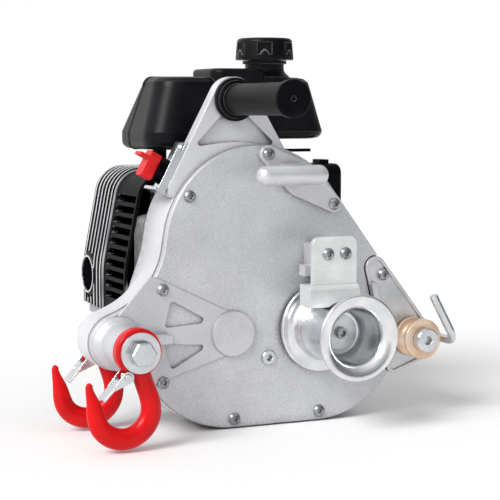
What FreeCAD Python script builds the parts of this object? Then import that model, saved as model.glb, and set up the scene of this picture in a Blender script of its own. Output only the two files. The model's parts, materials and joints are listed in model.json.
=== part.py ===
"""Portable petrol capstan winch: gear case, drum, rope guides, anchor hooks and engine.

Millimetres. X runs to the right, Y away from the viewer and Z up, seen from the drum's side.
Z = 0 is the flat underside that the winch stands on. Depths are given from the front face of the
case cover, and all pieces are then moved so that Y = 0 lies midway through the case.
"""
import FreeCAD, Part
import math
import os
import re

import Sketcher

SIZES = {
    # clearances shared by all pieces
    "overrun": 1.0,
    "seat_gap": 0.3,
    "running_gap": 0.06,
    "thread_gap": 0.1,
    "blend_run": 0.5,
    # gear train: axes and teeth
    "lay_x": -18.0,
    "lay_z": 90.0,
    "crank_x": 9.0,
    "drum_z": 91.5,
    "first_module": 1.25,
    "first_pinion_teeth": 12,
    "first_gear_teeth": 126,
    "second_module": 1.5,
    "second_pinion_teeth": 11,
    "second_gear_teeth": 108,
    "tooth_backlash": 0.16,
    "tooth_shift_share": 0.4,
    "output_front_share": 0.26,
    "output_width_share": 0.21,
    "lay_front_share": 0.53,
    "lay_width_share": 0.15,
    "pinion_overlap": 1.0,
    "gear_hub_across": 26.0,
    "lay_hex_across": 10.0,
    "input_hex_across": 8.0,
    "hex_gap": 0.02,
    # gear case
    "cover_thick": 8.0,
    "gasket_thick": 0.5,
    "case_depth": 52.0,
    "case_wall": 7.0,
    "case_back": 8.0,
    "cover_inset": 1.2,
    "gasket_width": 5.0,
    "crown_radius": 93.0,
    "shoulder_radius": 73.5,
    "lug_x": -130.0,
    "lug_z": 88.0,
    "lug_radius": 26.0,
    "lug_setback": 22.5,
    "lug_seat": 4.0,
    "underlug_radius": 60.0,
    "screw_boss_radius": 8.0,
    "screw_boss_depth": 12.0,
    "clutch_bore_radius": 42.0,
    "case_edge_round": 3.0,
    # carrying handle and its frame on top of the case
    "handle_x": -12.0,
    "handle_rise": 41.085,
    "apex_radius": 21.0,
    "apex_foot_radius": 8.0,
    "apex_left_proud": 1.625,
    "apex_left_angle": 146.604,
    "apex_right_sunk": 10.379,
    "apex_right_angle": 70.925,
    "apex_depth": 13.0,
    "apex_flange": 6.0,
    "apex_recess": 4.5,
    "apex_web_drop": 3.0,
    "apex_web_left": 17.5,
    "apex_web_right": 4.5,
    "apex_web_sag": 5.0,
    "apex_web_arch": 120.0,
    "apex_web_round": 2.5,
    "bar_radius": 8.0,
    "bar_front": -112.0,
    "bar_shoulder_radius": 12.0,
    "bar_shoulder_length": 4.0,
    "grip_radius": 14.5,
    "grip_flange_radius": 20.0,
    "grip_flange_length": 5.0,
    "grip_collar_radius": 17.5,
    "grip_collar_length": 9.0,
    "grip_end_radius": 16.3,
    "grip_end_length": 8.0,
    "grip_groove": 1.2,
    "grip_groove_length": 2.0,
    "grip_front": -118.0,
    "grip_dimple_radius": 2.2,
    "grip_round": 1.2,
    # cover details
    "band_height": 1.5,
    "band_left_x": -98.0,
    "band_left_top_z": 148.0,
    "band_left_low_z": 47.0,
    "band_boss_top_z": 109.0,
    "band_boss_low_z": 72.0,
    "band_corner": 6.0,
    "lay_boss_radius": 21.0,
    "lay_boss_height": 4.0,
    "pocket_left_x": -86.0,
    "pocket_peak_x": -79.0,
    "pocket_right_x": -40.0,
    "pocket_top_z": 124.0,
    "pocket_upper_z": 99.0,
    "pocket_lower_z": 84.0,
    "pocket_low_z": 60.0,
    "pocket_corner": 3.0,
    "pocket_depth": 3.0,
    "anchor_boss_radius": 18.0,
    "anchor_boss_base_radius": 24.0,
    "anchor_boss_front": -45.0,
    "anchor_base_front": -4.0,
    "anchor_cove": 4.5,
    "gusset_right_x": -82.0,
    "gusset_low_z": 86.0,
    "gusset_high_z": 94.0,
    "gusset_height": 14.0,
    "recess_depth": 6.0,
    "recess_gap": 1.0,
    "inner_boss_radius": 27.0,
    "inner_boss_depth": 5.5,
    "input_boss_radius": 16.0,
    "input_boss_depth": 12.0,
    "edge_round": 1.0,
    # button head screws
    "screw_radius": 3.0,
    "button_radius": 5.6,
    "button_height": 3.4,
    "button_dome_share": 0.55,
    "button_side_share": 0.3,
    "socket_across": 4.0,
    "socket_depth": 2.0,
    "screw_reach": 10.0,
    "guard_screw_length": 14.0,
    # places of the cover screws
    "crown_screw_inset": 10.026,
    "crown_screw_angle": 146.26,
    "neck_screw_x": -87.0,
    "neck_screw_z": 134.0,
    "low_screw_x": -87.0,
    "low_screw_z": 49.0,
    "base_screw_x": -16.0,
    "base_screw_z": 9.5,
    "toe_screw_x": 72.0,
    "toe_screw_z": 10.0,
    # oil plug
    "plug_x": 19.0,
    "plug_z": 65.0,
    "plug_radius": 7.0,
    "plug_head": 2.5,
    "plug_thread_radius": 5.0,
    "plug_length": 12.0,
    "plug_socket": 6.0,
    "plug_chamfer": 0.8,
    # drum and its shaft
    "drum_rear": -4.5,
    "drum_front": -84.0,
    "drum_core_radius": 28.5,
    "drum_rear_radius": 42.0,
    "drum_front_radius": 39.5,
    "drum_rim": 4.0,
    "drum_flare": 17.0,
    "drum_rear_flare": 10.0,
    "drum_rim_round": 1.6,
    "cup_mouth_radius": 26.0,
    "cup_floor_radius": 20.8,
    "cup_floor": -42.0,
    "cup_round": 3.0,
    "cup_mouth_round": 12.0,
    "shaft_radius": 12.0,
    "shaft_front": -36.0,
    "shaft_rear_radius": 7.0,
    "shaft_tail": 5.5,
    "retainer_radius": 17.0,
    "retainer_thick": 4.0,
    "drum_screw_head_radius": 5.5,
    "drum_screw_head": 5.0,
    "drum_screw_radius": 4.0,
    "drum_screw_length": 22.0,
    "drum_screw_socket": 6.0,
    "drum_screw_socket_depth": 3.5,
    "front_bearing_radius": 20.0,
    "front_bearing_width": 8.5,
    "seal_width": 3.6,
    "seal_lip_gap": 0.08,
    "rear_bearing_radius": 16.0,
    "rear_bearing_width": 6.5,
    "lay_journal_radius": 5.0,
    "lay_bearing_radius": 14.0,
    "lay_bearing_width": 7.0,
    "journal_end_gap": 1.5,
    "input_journal_radius": 4.0,
    "input_bearing_radius": 11.0,
    "input_bearing_width": 8.0,
    # clutch and crankshaft
    "bell_radius": 38.0,
    "bell_wall": 3.0,
    "bell_overhang": 4.5,
    "bell_hub_radius": 9.0,
    "bell_gap": 1.0,
    "nose_radius": 5.0,
    "nose_length": 8.0,
    "shoe_gap": 1.2,
    "shoe_split": 4.0,
    "shoe_width": 11.0,
    "clutch_hub_radius": 15.0,
    "clutch_seat_radius": 8.0,
    "crank_radius": 11.0,
    "web_radius": 28.0,
    "web_thick": 10.0,
    "web_front": 31.5,
    "pin_length": 13.0,
    "pin_throw": 17.0,
    "pin_radius": 8.0,
    "crank_rear": 131.5,
    "flywheel_radius": 56.0,
    "flywheel_front": 91.5,
    "flywheel_thick": 20.0,
    "flywheel_dish": 8.0,
    "flywheel_rim": 12.0,
    "flywheel_hub_radius": 20.0,
    # drum guard and its block
    "block_left_x": 55.0,
    "block_right_x": 83.0,
    "block_low_z": 140.0,
    "block_high_z": 173.0,
    "block_depth": 42.0,
    "block_round": 5.0,
    "tab_reach": 11.0,
    "tab_low_z": 143.0,
    "tab_high_z": 153.0,
    "tab_front": 26.0,
    "tab_depth": 12.0,
    "guard_left_x": 42.0,
    "guard_right_x": 87.0,
    "guard_high_z": 181.0,
    "guard_thick": 5.0,
    "guard_corner": 7.0,
    "guard_saddle_rear": -32.0,
    "guard_saddle_left_x": 36.0,
    "guard_saddle_top": 15.0,
    "guard_saddle_low": 25.5,
    "guard_saddle_proud": 7.0,
    "guard_drum_gap": 2.0,
    "guard_bend": 7.0,
    "guard_screw_left_x": 57.5,
    "guard_screw_right_x": 75.5,
    "guard_screw_z": 165.0,
    # rope cleat
    "cleat_thick": 7.0,
    "cleat_tip_inset": 8.624,
    "cleat_tip_angle": 85.241,
    "cleat_heel_inset": 9.77,
    "cleat_heel_angle": 25.693,
    "cleat_end_radius": 8.0,
    "cleat_bulge": 16.5,
    "cleat_side_radius": 20.0,
    "cleat_post_left": 12.0,
    "cleat_post_up": 5.0,
    "cleat_post_width": 26.0,
    "cleat_post_height": 22.0,
    "cleat_bar_y": -33.0,
    "cleat_bar_left": 45.0,
    "cleat_bar_right": 25.0,
    "cleat_bar_radius": 9.4,
    "cleat_bar_end_share": 0.9,
    "cleat_post_top_width": 20.0,
    "cleat_post_top_height": 11.0,
    "cleat_post_corner": 4.0,
    # roller arm, entry roller and rope keeper
    "arm_thick": 8.0,
    "arm_proud": 2.0,
    "arm_head_x": 132.0,
    "arm_head_z": 145.0,
    "arm_head_radius": 11.0,
    "arm_corner_x": 188.0,
    "arm_corner_z": 68.0,
    "arm_corner_radius": 14.0,
    "arm_heel_x": 153.0,
    "arm_heel_z": 49.0,
    "arm_heel_radius": 8.0,
    "arm_screw_x": 140.0,
    "arm_screw_z": 138.0,
    "arm_rib_width": 6.0,
    "arm_rib_height": 2.0,
    "arm_fold_radius": 3.5,
    "arm_fold_left": 3.0,
    "arm_fold_down": 17.0,
    "arm_fold_low_left": 7.8,
    "arm_fold_up": 13.0,
    "arm_fold_height": 4.0,
    "arm_boss_radius": 9.2,
    "arm_boss_depth": 12.0,
    "roller_x": 172.0,
    "roller_z": 76.0,
    "roller_length": 23.0,
    "roller_flange_radius": 19.5,
    "roller_groove_radius": 12.0,
    "roller_flange": 4.5,
    "roller_round": 1.2,
    "roller_pin_radius": 6.0,
    "roller_head_radius": 11.8,
    "roller_head": 9.0,
    "roller_head_chamfer": 1.2,
    "roller_socket": 8.0,
    "roller_socket_depth": 5.0,
    "keeper_radius": 4.0,
    "keeper_seat_radius": 6.0,
    "keeper_x": 200.0,
    "keeper_z": 74.0,
    "keeper_front": -38.0,
    "keeper_bend": 13.0,
    "keeper_leg": 39.0,
    "keeper_lean": 29.0,
    # anchor bolt, hooks and latches
    "anchor_radius": 8.0,
    "anchor_head_across": 20.0,
    "anchor_head": 10.0,
    "anchor_nut": 13.0,
    "anchor_end": 5.0,
    "washer_radius": 18.0,
    "washer_thick": 3.5,
    "eye_radius": 21.0,
    "eye_thick": 13.0,
    "eye_round": 3.0,
    "bowl_x": -13.0,
    "bowl_z": -50.5,
    "bowl_radius": 25.5,
    "hook_half": 9.6,
    "hook_start_angle": 20.0,
    "hook_end_angle": -176.0,
    "hook_flat_share": 0.8,
    "hook_tip_x": -44.0,
    "hook_tip_z": -27.0,
    "hook_neck_x": 1.0,
    "hook_neck_z": -13.0,
    "latch_x": -11.0,
    "latch_z": -21.0,
    "latch_lug_radius": 5.0,
    "latch_length": 29.0,
    "latch_tilt": 226.0,
    "latch_ear_radius": 5.2,
    "latch_plate": 1.5,
    "latch_web_start": 7.0,
    "latch_web_lift": 1.6,
    "latch_flange_end": 15.0,
    "latch_pin_radius": 2.0,
    "latch_pin_head": 1.2,
    "latch_pin_head_radius": 3.4,
    "latch_side_gap": 0.35,
    "spring_wire_radius": 0.6,
    "spring_turns": 4,
    "spring_pitch": 1.8,
    "spring_gap": 0.3,
    "spring_slot": 10.4,
    # throttle control on the left leg
    "bracket_foot": -9.0,
    "bracket_length": 52.0,
    "bracket_width": 27.0,
    "bracket_front": 9.5,
    "bracket_thick": 3.0,
    "bracket_lip": 11.0,
    "bracket_flange": 8.0,
    "bracket_round": 1.4,
    "bracket_screw_along": 37.0,
    "bracket_screw_in": 7.8,
    "control_base_radius": 11.5,
    "control_base_height": 12.0,
    "control_base_along": 19.0,
    "control_base_tail": 6.0,
    "control_tail_radius": 7.0,
    "lever_pivot_radius": 3.0,
    "lever_pivot_length": 8.0,
    "lever_length": 25.0,
    "lever_width": 16.0,
    "lever_height": 11.0,
    "lever_corner": 4.0,
    "lever_tongue_up": 4.0,
    "lever_tongue_thick": 3.0,
    "lever_tongue_reach": 9.0,
    # engine: its depths count from the face that bolts to the case
    "engine_flange_radius": 72.0,
    "engine_flange_thick": 7.0,
    "block_x_min": -45.0,
    "block_x_max": 65.0,
    "block_z_min": 92.0,
    "block_z_max": 224.0,
    "block_rear": 85.5,
    "block_corner": 12.0,
    "crank_chamber_radius": 32.0,
    "crank_chamber_gap": 3.0,
    "base_x_min": -95.0,
    "base_x_max": 108.0,
    "base_front": 67.5,
    "base_rear": 137.5,
    "base_thick": 10.0,
    "base_corner": 10.0,
    "cylinder_radius": 26.0,
    "cylinder_y": 35.5,
    "cylinder_height": 34.0,
    "cylinder_gap": 10.5,
    "fin_width": 80.0,
    "fin_depth": 50.0,
    "fin_thick": 2.4,
    "fin_pitch": 6.0,
    "fin_count": 5,
    "fin_corner": 8.0,
    "plug_offset": 8.0,
    "plug_hex_across": 16.0,
    "plug_hex_length": 8.0,
    "plug_cap_radius": 8.0,
    "plug_cap_length": 15.0,
    "plug_body_radius": 5.0,
    "plug_body_length": 6.0,
    "muffler_left_x": -72.0,
    "muffler_right_x": -50.0,
    "muffler_front": 18.5,
    "muffler_depth": 38.0,
    "muffler_low_z": 116.0,
    "muffler_high_z": 194.0,
    "muffler_corner": 9.0,
    "muffler_pipe_radius": 9.0,
    "muffler_pipe_z": 182.0,
    "muffler_seam": 2.0,
    "hood_left_x": -101.5,
    "hood_lean": 18.0,
    "hood_taper": 5.5,
    "hood_low_z": 102.0,
    "hood_turn_z": 146.0,
    "hood_high_z": 237.0,
    "hood_corner": 26.0,
    "hood_bend": 90.0,
    "hood_right_x": 118.0,
    "hood_wall": 3.0,
    "guard_front_y": 1.5,
    "guard_tuck": 4.0,
    "guard_inner_x": -48.0,
    "louvre_count": 10,
    "louvre_low_z": 116.0,
    "louvre_pitch": 10.3,
    "louvre_height": 6.4,
    "louvre_margin": 3.0,
    "louvre_rear_margin": 6.0,
    "louvre_cut": 30.0,
    "fan_front_y": 63.5,
    "fan_rear_y": 137.5,
    "rib_count": 6,
    "rib_first_y": 66.5,
    "rib_pitch": 12.4,
    "rib_width": 5.5,
    "rib_height": 3.0,
    "fan_intake_radius": 52.0,
    "badge_y": 113.5,
    "badge_z": 132.0,
    "badge_radius": 19.0,
    "badge_pad_radius": 22.0,
    "badge_pad_sink": 1.5,
    "badge_thick": 2.4,
    "badge_rim": 1.8,
    "badge_sink": 0.8,
    "starter_radius": 62.0,
    "starter_depth": 14.0,
    "starter_wall": 3.0,
    "starter_slot_count": 10,
    "starter_slot_inner": 22.0,
    "starter_slot_outer": 46.0,
    "starter_slot_width": 6.0,
    "starter_round": 5.0,
    "pull_y": 144.5,
    "pull_z_offset": 44.0,
    "pull_guide_radius": 6.0,
    "pull_guide_length": 20.0,
    "pull_guide_root": 9.0,
    "pull_rope_radius": 1.8,
    "pull_rope_length": 74.0,
    "pull_grip_radius": 6.0,
    "pull_grip_half": 20.0,
    "pull_grip_depth": 11.0,
    # fuel tank and cap
    "tank_front": -16.5,
    "tank_rear": 87.5,
    "tank_gap": 3.585,
    "tank_height": 59.5,
    "tank_left_x": -80.0,
    "tank_right_x": 105.5,
    "tank_lean_share": 0.35,
    "tank_right_gain_share": 0.2,
    "tank_belly": 7.0,
    "lobe_drop": 9.5,
    "lobe_right_x": -26.0,
    "tank_corner": 24.0,
    "tank_edge": 9.0,
    "saddle_left_x": -12.0,
    "saddle_right_x": 44.0,
    "saddle_front": -6.5,
    "saddle_rear": 61.5,
    "saddle_height": 8.0,
    "saddle_corner": 14.0,
    "saddle_round": 4.0,
    "neck_x": 52.0,
    "neck_y": 21.5,
    "neck_radius": 19.0,
    "neck_lip_radius": 21.5,
    "neck_height": 16.0,
    "neck_flare": 6.0,
    "cap_radius": 28.3,
    "cap_gap": 1.0,
    "cap_height": 21.0,
    "cap_round": 4.0,
    "cap_taper": 1.6,
    "cap_pad_turn": 6.0,
    "cap_pad_width": 14.0,
    "cap_pad_sink": 2.0,
    "cap_pad_margin": 4.6,
    "cap_skirt": 3.5,
    "cap_pad_count": 6,
    "cap_stem_radius": 16.0,
    "cap_stem_length": 10.0,
    "tank_post_radius": 7.0,
    "post_left_x": -38.0,
    "post_right_x": 56.0,
    "front_post_y": 17.5,
    "rear_post_y": 75.5,
    # carburettor, air cleaner and choke
    "carb_front": 17.5,
    "carb_rear": 45.5,
    "carb_low_z": 184.0,
    "carb_high_z": 214.0,
    "carb_corner": 5.0,
    "air_left_x": 84.0,
    "air_right_x": 131.0,
    "air_front": 5.5,
    "air_rear": 53.5,
    "air_low_z": 166.0,
    "air_high_z": 243.0,
    "air_corner": 10.0,
    "air_lid_split_x": 104.0,
    "air_seam": 1.2,
    "air_tab_x": 110.0,
    "air_tab_width": 10.0,
    "air_tab_length": 16.0,
    "air_tab_height": 4.0,
    "choke_x": 75.0,
    "choke_y": 31.5,
    "choke_radius": 2.0,
    "choke_arm_z": 254.7,
    "choke_arm_length": 30.0,
    "choke_arm_width": 5.0,
    "choke_arm_thick": 3.0,
    "choke_socket": 9.0,
    # rear foot
    "foot_left_x": 8.0,
    "foot_right_x": 92.0,
    "foot_front": 79.5,
    "foot_rear": 115.5,
    "foot_plate": 5.0,
    "foot_corner": 5.0,
}

# Worked out sizes, as text for the sheet

FIRST_CENTRES = "(first_module * (first_pinion_teeth + first_gear_teeth) / 2)"
SECOND_CENTRES = "(second_module * (second_pinion_teeth + second_gear_teeth) / 2)"
CRANK_Z = f"(lay_z + sqrt({FIRST_CENTRES}^2 - (crank_x - lay_x)^2))"
DRUM_X = f"(lay_x + sqrt({SECOND_CENTRES}^2 - (drum_z - lay_z)^2))"
CASE_FRONT = "(cover_thick + gasket_thick)"
CASE_REAR = f"({CASE_FRONT} + case_depth)"
CASE_FLOOR = f"({CASE_REAR} - case_back)"
CASE_MIDDLE = f"({CASE_FRONT} + case_depth / 2)"


def on_crown(axis, reach, angle):
    """Cell text for a place at some reach beyond the crown's rim and an angle about the crank."""
    centre, turn = {"x": ("crank_x", "cos"), "z": (CRANK_Z, "sin")}[axis]
    return f"{centre} + (crown_radius + {reach}) * {turn}({angle})"


WORKED_OUT = {
    # the gear train shares the depth of the case
    "engine_face": CASE_REAR,
    "output_gear_front": f"{CASE_FRONT} + case_depth * output_front_share",
    "output_gear_width": "case_depth * output_width_share",
    "lay_gear_front": f"{CASE_FRONT} + case_depth * lay_front_share",
    "lay_gear_width": "case_depth * lay_width_share",
    "bell_front": "lay_gear_front + lay_gear_width + pinion_overlap",
    "bell_depth": "engine_face + bell_overhang - bell_front - bell_wall",
    "shaft_rear": f"{CASE_FLOOR} + shaft_tail",
    "lug_rear": "engine_face - lug_setback",
    "apex_rear": f"{CASE_FRONT} + apex_depth",
    # the handle frame, the upper screws and the cleat sit on the crown
    "handle_z": f"{CRANK_Z} + crown_radius + handle_rise",
    "apex_left_x": on_crown("x", "apex_left_proud", "apex_left_angle"),
    "apex_left_z": on_crown("z", "apex_left_proud", "apex_left_angle"),
    "apex_right_x": on_crown("x", "-apex_right_sunk", "apex_right_angle"),
    "apex_right_z": on_crown("z", "-apex_right_sunk", "apex_right_angle"),
    "crown_screw_x": on_crown("x", "-crown_screw_inset", "crown_screw_angle"),
    "crown_screw_z": on_crown("z", "-crown_screw_inset", "crown_screw_angle"),
    "cleat_tip_x": on_crown("x", "-cleat_tip_inset", "cleat_tip_angle"),
    "cleat_tip_z": on_crown("z", "-cleat_tip_inset", "cleat_tip_angle"),
    "cleat_heel_x": on_crown("x", "-cleat_heel_inset", "cleat_heel_angle"),
    "cleat_heel_z": on_crown("z", "-cleat_heel_inset", "cleat_heel_angle"),
    "cleat_post_x": "(cleat_tip_x + cleat_heel_x) / 2 - cleat_post_left",
    "cleat_post_z": "(cleat_tip_z + cleat_heel_z) / 2 + cleat_post_up",
    "cleat_bar_left_x": "cleat_post_x - cleat_bar_left",
    "cleat_bar_right_x": "cleat_post_x + cleat_bar_right",
    # the tank clears both the crown and the cylinder
    "over_crown": f"{CRANK_Z} + crown_radius + tank_gap",
    "over_cylinder": "block_z_max + cylinder_height + cylinder_gap",
    "tank_low_z": "over_crown > over_cylinder ? over_crown : over_cylinder",
    "lobe_low_z": "tank_low_z - lobe_drop",
    "tank_high_z": "tank_low_z + tank_height",
    "neck_top_z": "tank_high_z + neck_height",
    "cap_low_z": "neck_top_z + cap_gap",
    "cap_high_z": "cap_low_z + cap_height",
}

doc = FreeCAD.newDocument("CapstanWinch")
sheet = doc.addObject("Spreadsheet::Sheet", "Sizes")
CELLS = SIZES | {alias: f"={text}" for alias, text in WORKED_OUT.items()}
for row, (alias, amount) in enumerate(CELLS.items(), start=1):
    sheet.set(f"A{row}", alias.replace("_", " "))
    sheet.set(f"B{row}", str(amount))
    sheet.setAlias(f"B{row}", alias)
doc.recompute()

NODES = []
CUTS = []
PLANES = {"front": "XZ_Plane", "top": "XY_Plane", "side": "YZ_Plane"}


# Sheet expressions


def qualified(text):
    """Give each sheet name in an expression its sheet."""
    def full(word):
        name = word.group()
        return f"Sizes.{name}" if name in CELLS else name
    return re.sub(r"[a-z][a-z_]*", full, str(text))


def measure(text):
    """Work out an expression in millimetres."""
    return float(sheet.evalExpression(qualified(text)))


def bind(thing, prop, text):
    """Tie a property to sheet cells."""
    thing.setExpression(prop, qualified(text))


def point(x, y, z=0.0):
    """A vector, for short."""
    return FreeCAD.Vector(x, y, z)


# Outline of the case


def tangent_centre(first, second, radius):
    """Centre of a hollow rounding that runs into two circles, on the left of first to second."""
    (ax, ay, ar), (bx, by, br) = first, second
    reach_a = f"({ar} + {radius} + blend_run)"
    reach_b = f"({br} + {radius} + blend_run)"
    span = f"sqrt(({bx} - {ax})^2 + ({by} - {ay})^2)"
    along = f"(({reach_a}^2 - {reach_b}^2 + {span}^2) / (2 * {span}))"
    aside = f"sqrt({reach_a}^2 - {along}^2)"
    x = f"{ax} + ({along} * ({bx} - {ax}) + {aside} * ({by} - {ay})) / {span}"
    y = f"{ay} + ({along} * ({by} - {ay}) - {aside} * ({bx} - {ax})) / {span}"
    return x, y


def case_outline(inset="0", with_lug=True):
    """The case seen from the front: three gear rounds, and the anchor lug on the left."""
    right = (DRUM_X, "drum_z", f"drum_z - ({inset})", "in")
    top = ("crank_x", CRANK_Z, f"crown_radius - ({inset})", "in")
    left = ("lay_x", "lay_z", f"lay_z - ({inset})", "in")
    lug = ("lug_x", "lug_z", f"lug_radius - ({inset})", "in")
    over = tangent_centre(top[:2] + ("crown_radius",), lug[:2] + ("lug_radius",), "shoulder_radius")
    under = tangent_centre(lug[:2] + ("lug_radius",), left[:2] + ("lay_z",), "underlug_radius")
    shoulder = over + (f"shoulder_radius + ({inset})", "out")
    if not with_lug:
        return [right, top, shoulder, left]
    underlug = under + (f"underlug_radius + ({inset})", "out")
    return [right, top, shoulder, lug, underlug, left]


# Outlines


def disc(x, y, radius):
    """A full circle."""
    return ("disc", x, y, radius)


def rect(x_low, y_low, x_high, y_high, corner=None):
    """A rectangle, with rounded corners if wanted."""
    ends = ((x_low, y_low), (x_high, y_low), (x_high, y_high), (x_low, y_high))
    return [end if corner is None else end + (corner,) for end in ends]


def hexagon(across, x="0", y="0"):
    """A hexagon given across its flats, with corners to left and right."""
    side = f"({across}) / sqrt(3)"
    places = ((1, 0), (0.5, 0.5), (-0.5, 0.5), (-1, 0), (-0.5, -0.5), (0.5, -0.5))
    return [(f"{x} + {side} * {u}", f"{y} + ({across}) * {v}") for u, v in places]


def straight_runs(centres, radii):
    """Lines that touch each circle and the next, as a belt pulled round them."""
    runs = []
    for here in range(len(centres)):
        there = (here + 1) % len(centres)
        dx = centres[there][0] - centres[here][0]
        dy = centres[there][1] - centres[here][1]
        lean = math.asin((radii[there] - radii[here]) / math.hypot(dx, dy))
        angle = math.atan2(dy, dx) - lean
        normal = (-math.sin(angle), math.cos(angle))
        start = [centres[here][k] - radii[here] * normal[k] for k in (0, 1)]
        end = [centres[there][k] - radii[there] * normal[k] for k in (0, 1)]
        runs.append([start, end])
    return runs


def trim_corner(before, after, radius):
    """Shorten two lines that meet and return the centre and turn of the arc between them."""
    u = [before[1][k] - before[0][k] for k in (0, 1)]
    v = [after[1][k] - after[0][k] for k in (0, 1)]
    u = [part / math.hypot(*u) for part in u]
    v = [part / math.hypot(*v) for part in v]
    cross = u[0] * v[1] - u[1] * v[0]
    turn = math.atan2(cross, u[0] * v[0] + u[1] * v[1])
    back = radius * math.tan(abs(turn) / 2)
    corner = before[1]
    side = 1 if turn > 0 else -1
    before[1] = [corner[k] - u[k] * back for k in (0, 1)]
    after[0] = [corner[k] + v[k] * back for k in (0, 1)]
    centre = (before[1][0] - side * radius * u[1], before[1][1] + side * radius * u[0])
    return centre, side


def draw(sketch, loop):
    """Draw one closed loop and tie its corners, centres and radii to the sheet."""
    ties = []
    if loop[0] == "disc":
        _, x, y, radius = loop
        circle = Part.Circle(point(measure(x), measure(y)), point(0, 0, 1), measure(radius))
        index = sketch.addGeometry(circle, False)
        rules = [
            (Sketcher.Constraint("DistanceX", -1, 1, index, 3, measure(x)), x),
            (Sketcher.Constraint("DistanceY", -1, 1, index, 3, measure(y)), y),
            (Sketcher.Constraint("Radius", index, measure(radius)), radius),
        ]
        add_rules(sketch, rules)
        return
    count = len(loop)
    centres = [(measure(v[0]), measure(v[1])) for v in loop]
    signs = [1 if v[-1] == "in" else -1 for v in loop]
    radii = [measure(v[2]) * signs[i] if len(v) == 4 else 0.0 for i, v in enumerate(loop)]
    runs = straight_runs(centres, radii)
    arcs = {}
    for i, vertex in enumerate(loop):
        if len(vertex) == 4:
            arcs[i] = (centres[i], measure(vertex[2]), signs[i])
        elif len(vertex) == 3:
            centre, side = trim_corner(runs[i - 1], runs[i], measure(vertex[2]))
            arcs[i] = (centre, measure(vertex[2]), side)
    lines = [sketch.addGeometry(Part.LineSegment(point(*a), point(*b)), False) for a, b in runs]
    for i, vertex in enumerate(loop):
        before, after = lines[i - 1], lines[i]
        if i not in arcs:
            ties.append((Sketcher.Constraint("Coincident", before, 2, after, 1), None))
            held = (after, 1)
        else:
            centre, radius, side = arcs[i]
            first, last = (runs[i - 1][1], runs[i][0])
            if side < 0:
                first, last = last, first
            a = math.atan2(first[1] - centre[1], first[0] - centre[0])
            b = math.atan2(last[1] - centre[1], last[0] - centre[0])
            ring = Part.Circle(point(*centre), point(0, 0, 1), radius)
            arc = sketch.addGeometry(Part.ArcOfCircle(ring, a, b), False)
            ends = (1, 2) if side > 0 else (2, 1)
            ties.append((Sketcher.Constraint("Tangent", before, 2, arc, ends[0]), None))
            ties.append((Sketcher.Constraint("Tangent", arc, ends[1], after, 1), None))
            ties.append((Sketcher.Constraint("Radius", arc, radius), vertex[2]))
            held = (arc, 3)
            if len(vertex) == 3:
                corner = sketch.addGeometry(Part.Point(point(*centres[i])), True)
                ties.append((Sketcher.Constraint("PointOnObject", corner, 1, before), None))
                ties.append((Sketcher.Constraint("PointOnObject", corner, 1, after), None))
                held = (corner, 1)
        ties.append((Sketcher.Constraint("DistanceX", -1, 1, *held, centres[i][0]), vertex[0]))
        ties.append((Sketcher.Constraint("DistanceY", -1, 1, *held, centres[i][1]), vertex[1]))
    assert count == len(lines)
    add_rules(sketch, ties)


def add_rules(sketch, rules):
    """Add sketch constraints and bind those that carry an expression."""
    indices = sketch.addConstraint([rule for rule, _ in rules])
    for index, (_, text) in zip(indices, rules):
        if text is not None:
            bind(sketch, f"Constraints[{index}]", text)


# Features


def body_at(label, x="0", y="0", z="0", turn=None, turn_axis=(0, 1, 0), node=True):
    """A new body with its own frame; turn is an angle in degrees about turn_axis."""
    body = doc.addObject("PartDesign::Body", label)
    body.Label = label
    if turn is not None:
        spun = FreeCAD.Rotation(point(*turn_axis), measure(turn))
        body.Placement = FreeCAD.Placement(point(0, 0, 0), spun)
        bind(body, "Placement.Rotation.Angle", turn)
    for axis, text in zip("xyz", (x, f"{y} - {CASE_MIDDLE}", z)):
        bind(body, f"Placement.Base.{axis}", text)
    if node:
        NODES.append(body)
    return body


def sketch_on(body, plane, x="0", y="0", z="0"):
    """An empty sketch on one of the body's planes, moved to x, y, z."""
    sketch = body.newObject("Sketcher::SketchObject", f"{body.Label}_sketch")
    base = next(part for part in body.Origin.OriginFeatures if part.Role == PLANES[plane])
    sketch.AttachmentSupport = [(base, "")]
    sketch.MapMode = "FlatFace"
    moved = {"front": (x, z, f"-({y})"), "top": (x, y, z), "side": (y, z, x)}[plane]
    for axis, text in zip("xyz", moved):
        bind(sketch, f"AttachmentOffset.Base.{axis}", text)
    return sketch


def sketch_loops(body, plane, loops, start):
    """A sketch that holds the loops, at a distance start along the plane's normal axis."""
    place = {"front": "y", "top": "z", "side": "x"}[plane]
    sketch = sketch_on(body, plane, **{place: start})
    for loop in loops:
        draw(sketch, loop)
    return sketch


def grow(body, plane, loops, start, length):
    """Add metal from start along +Y (front), +Z (top) or +X (side)."""
    sketch = sketch_loops(body, plane, loops, start)
    pad = body.newObject("PartDesign::Pad", f"{body.Label}_pad")
    pad.Profile = sketch
    bind(pad, "Length", length)
    pad.Reversed = plane == "front"
    return pad


def cut(body, plane, loops, start, length):
    """Take metal away from start along +Y (front), +Z (top) or +X (side)."""
    sketch = sketch_loops(body, plane, loops, start)
    pocket = body.newObject("PartDesign::Pocket", f"{body.Label}_pocket")
    pocket.Profile = sketch
    bind(pocket, "Length", length)
    pocket.Reversed = plane != "front"
    CUTS.append(pocket)
    return pocket


def spin(body, axis, loop, x="0", y="0", z="0", kind="Revolution"):
    """Turn a profile round an axis: (radius, along) for Y and Z, (along, radius) for X."""
    plane, line = {"X": ("top", "H_Axis"), "Y": ("top", "V_Axis"), "Z": ("front", "V_Axis")}[axis]
    sketch = sketch_on(body, plane, x, y, z)
    draw(sketch, loop)
    turned = body.newObject(f"PartDesign::{kind}", f"{body.Label}_turned")
    turned.Profile = sketch
    turned.ReferenceAxis = (sketch, [line])
    turned.Angle = 360
    if kind == "Groove":
        CUTS.append(turned)
    return turned


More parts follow.
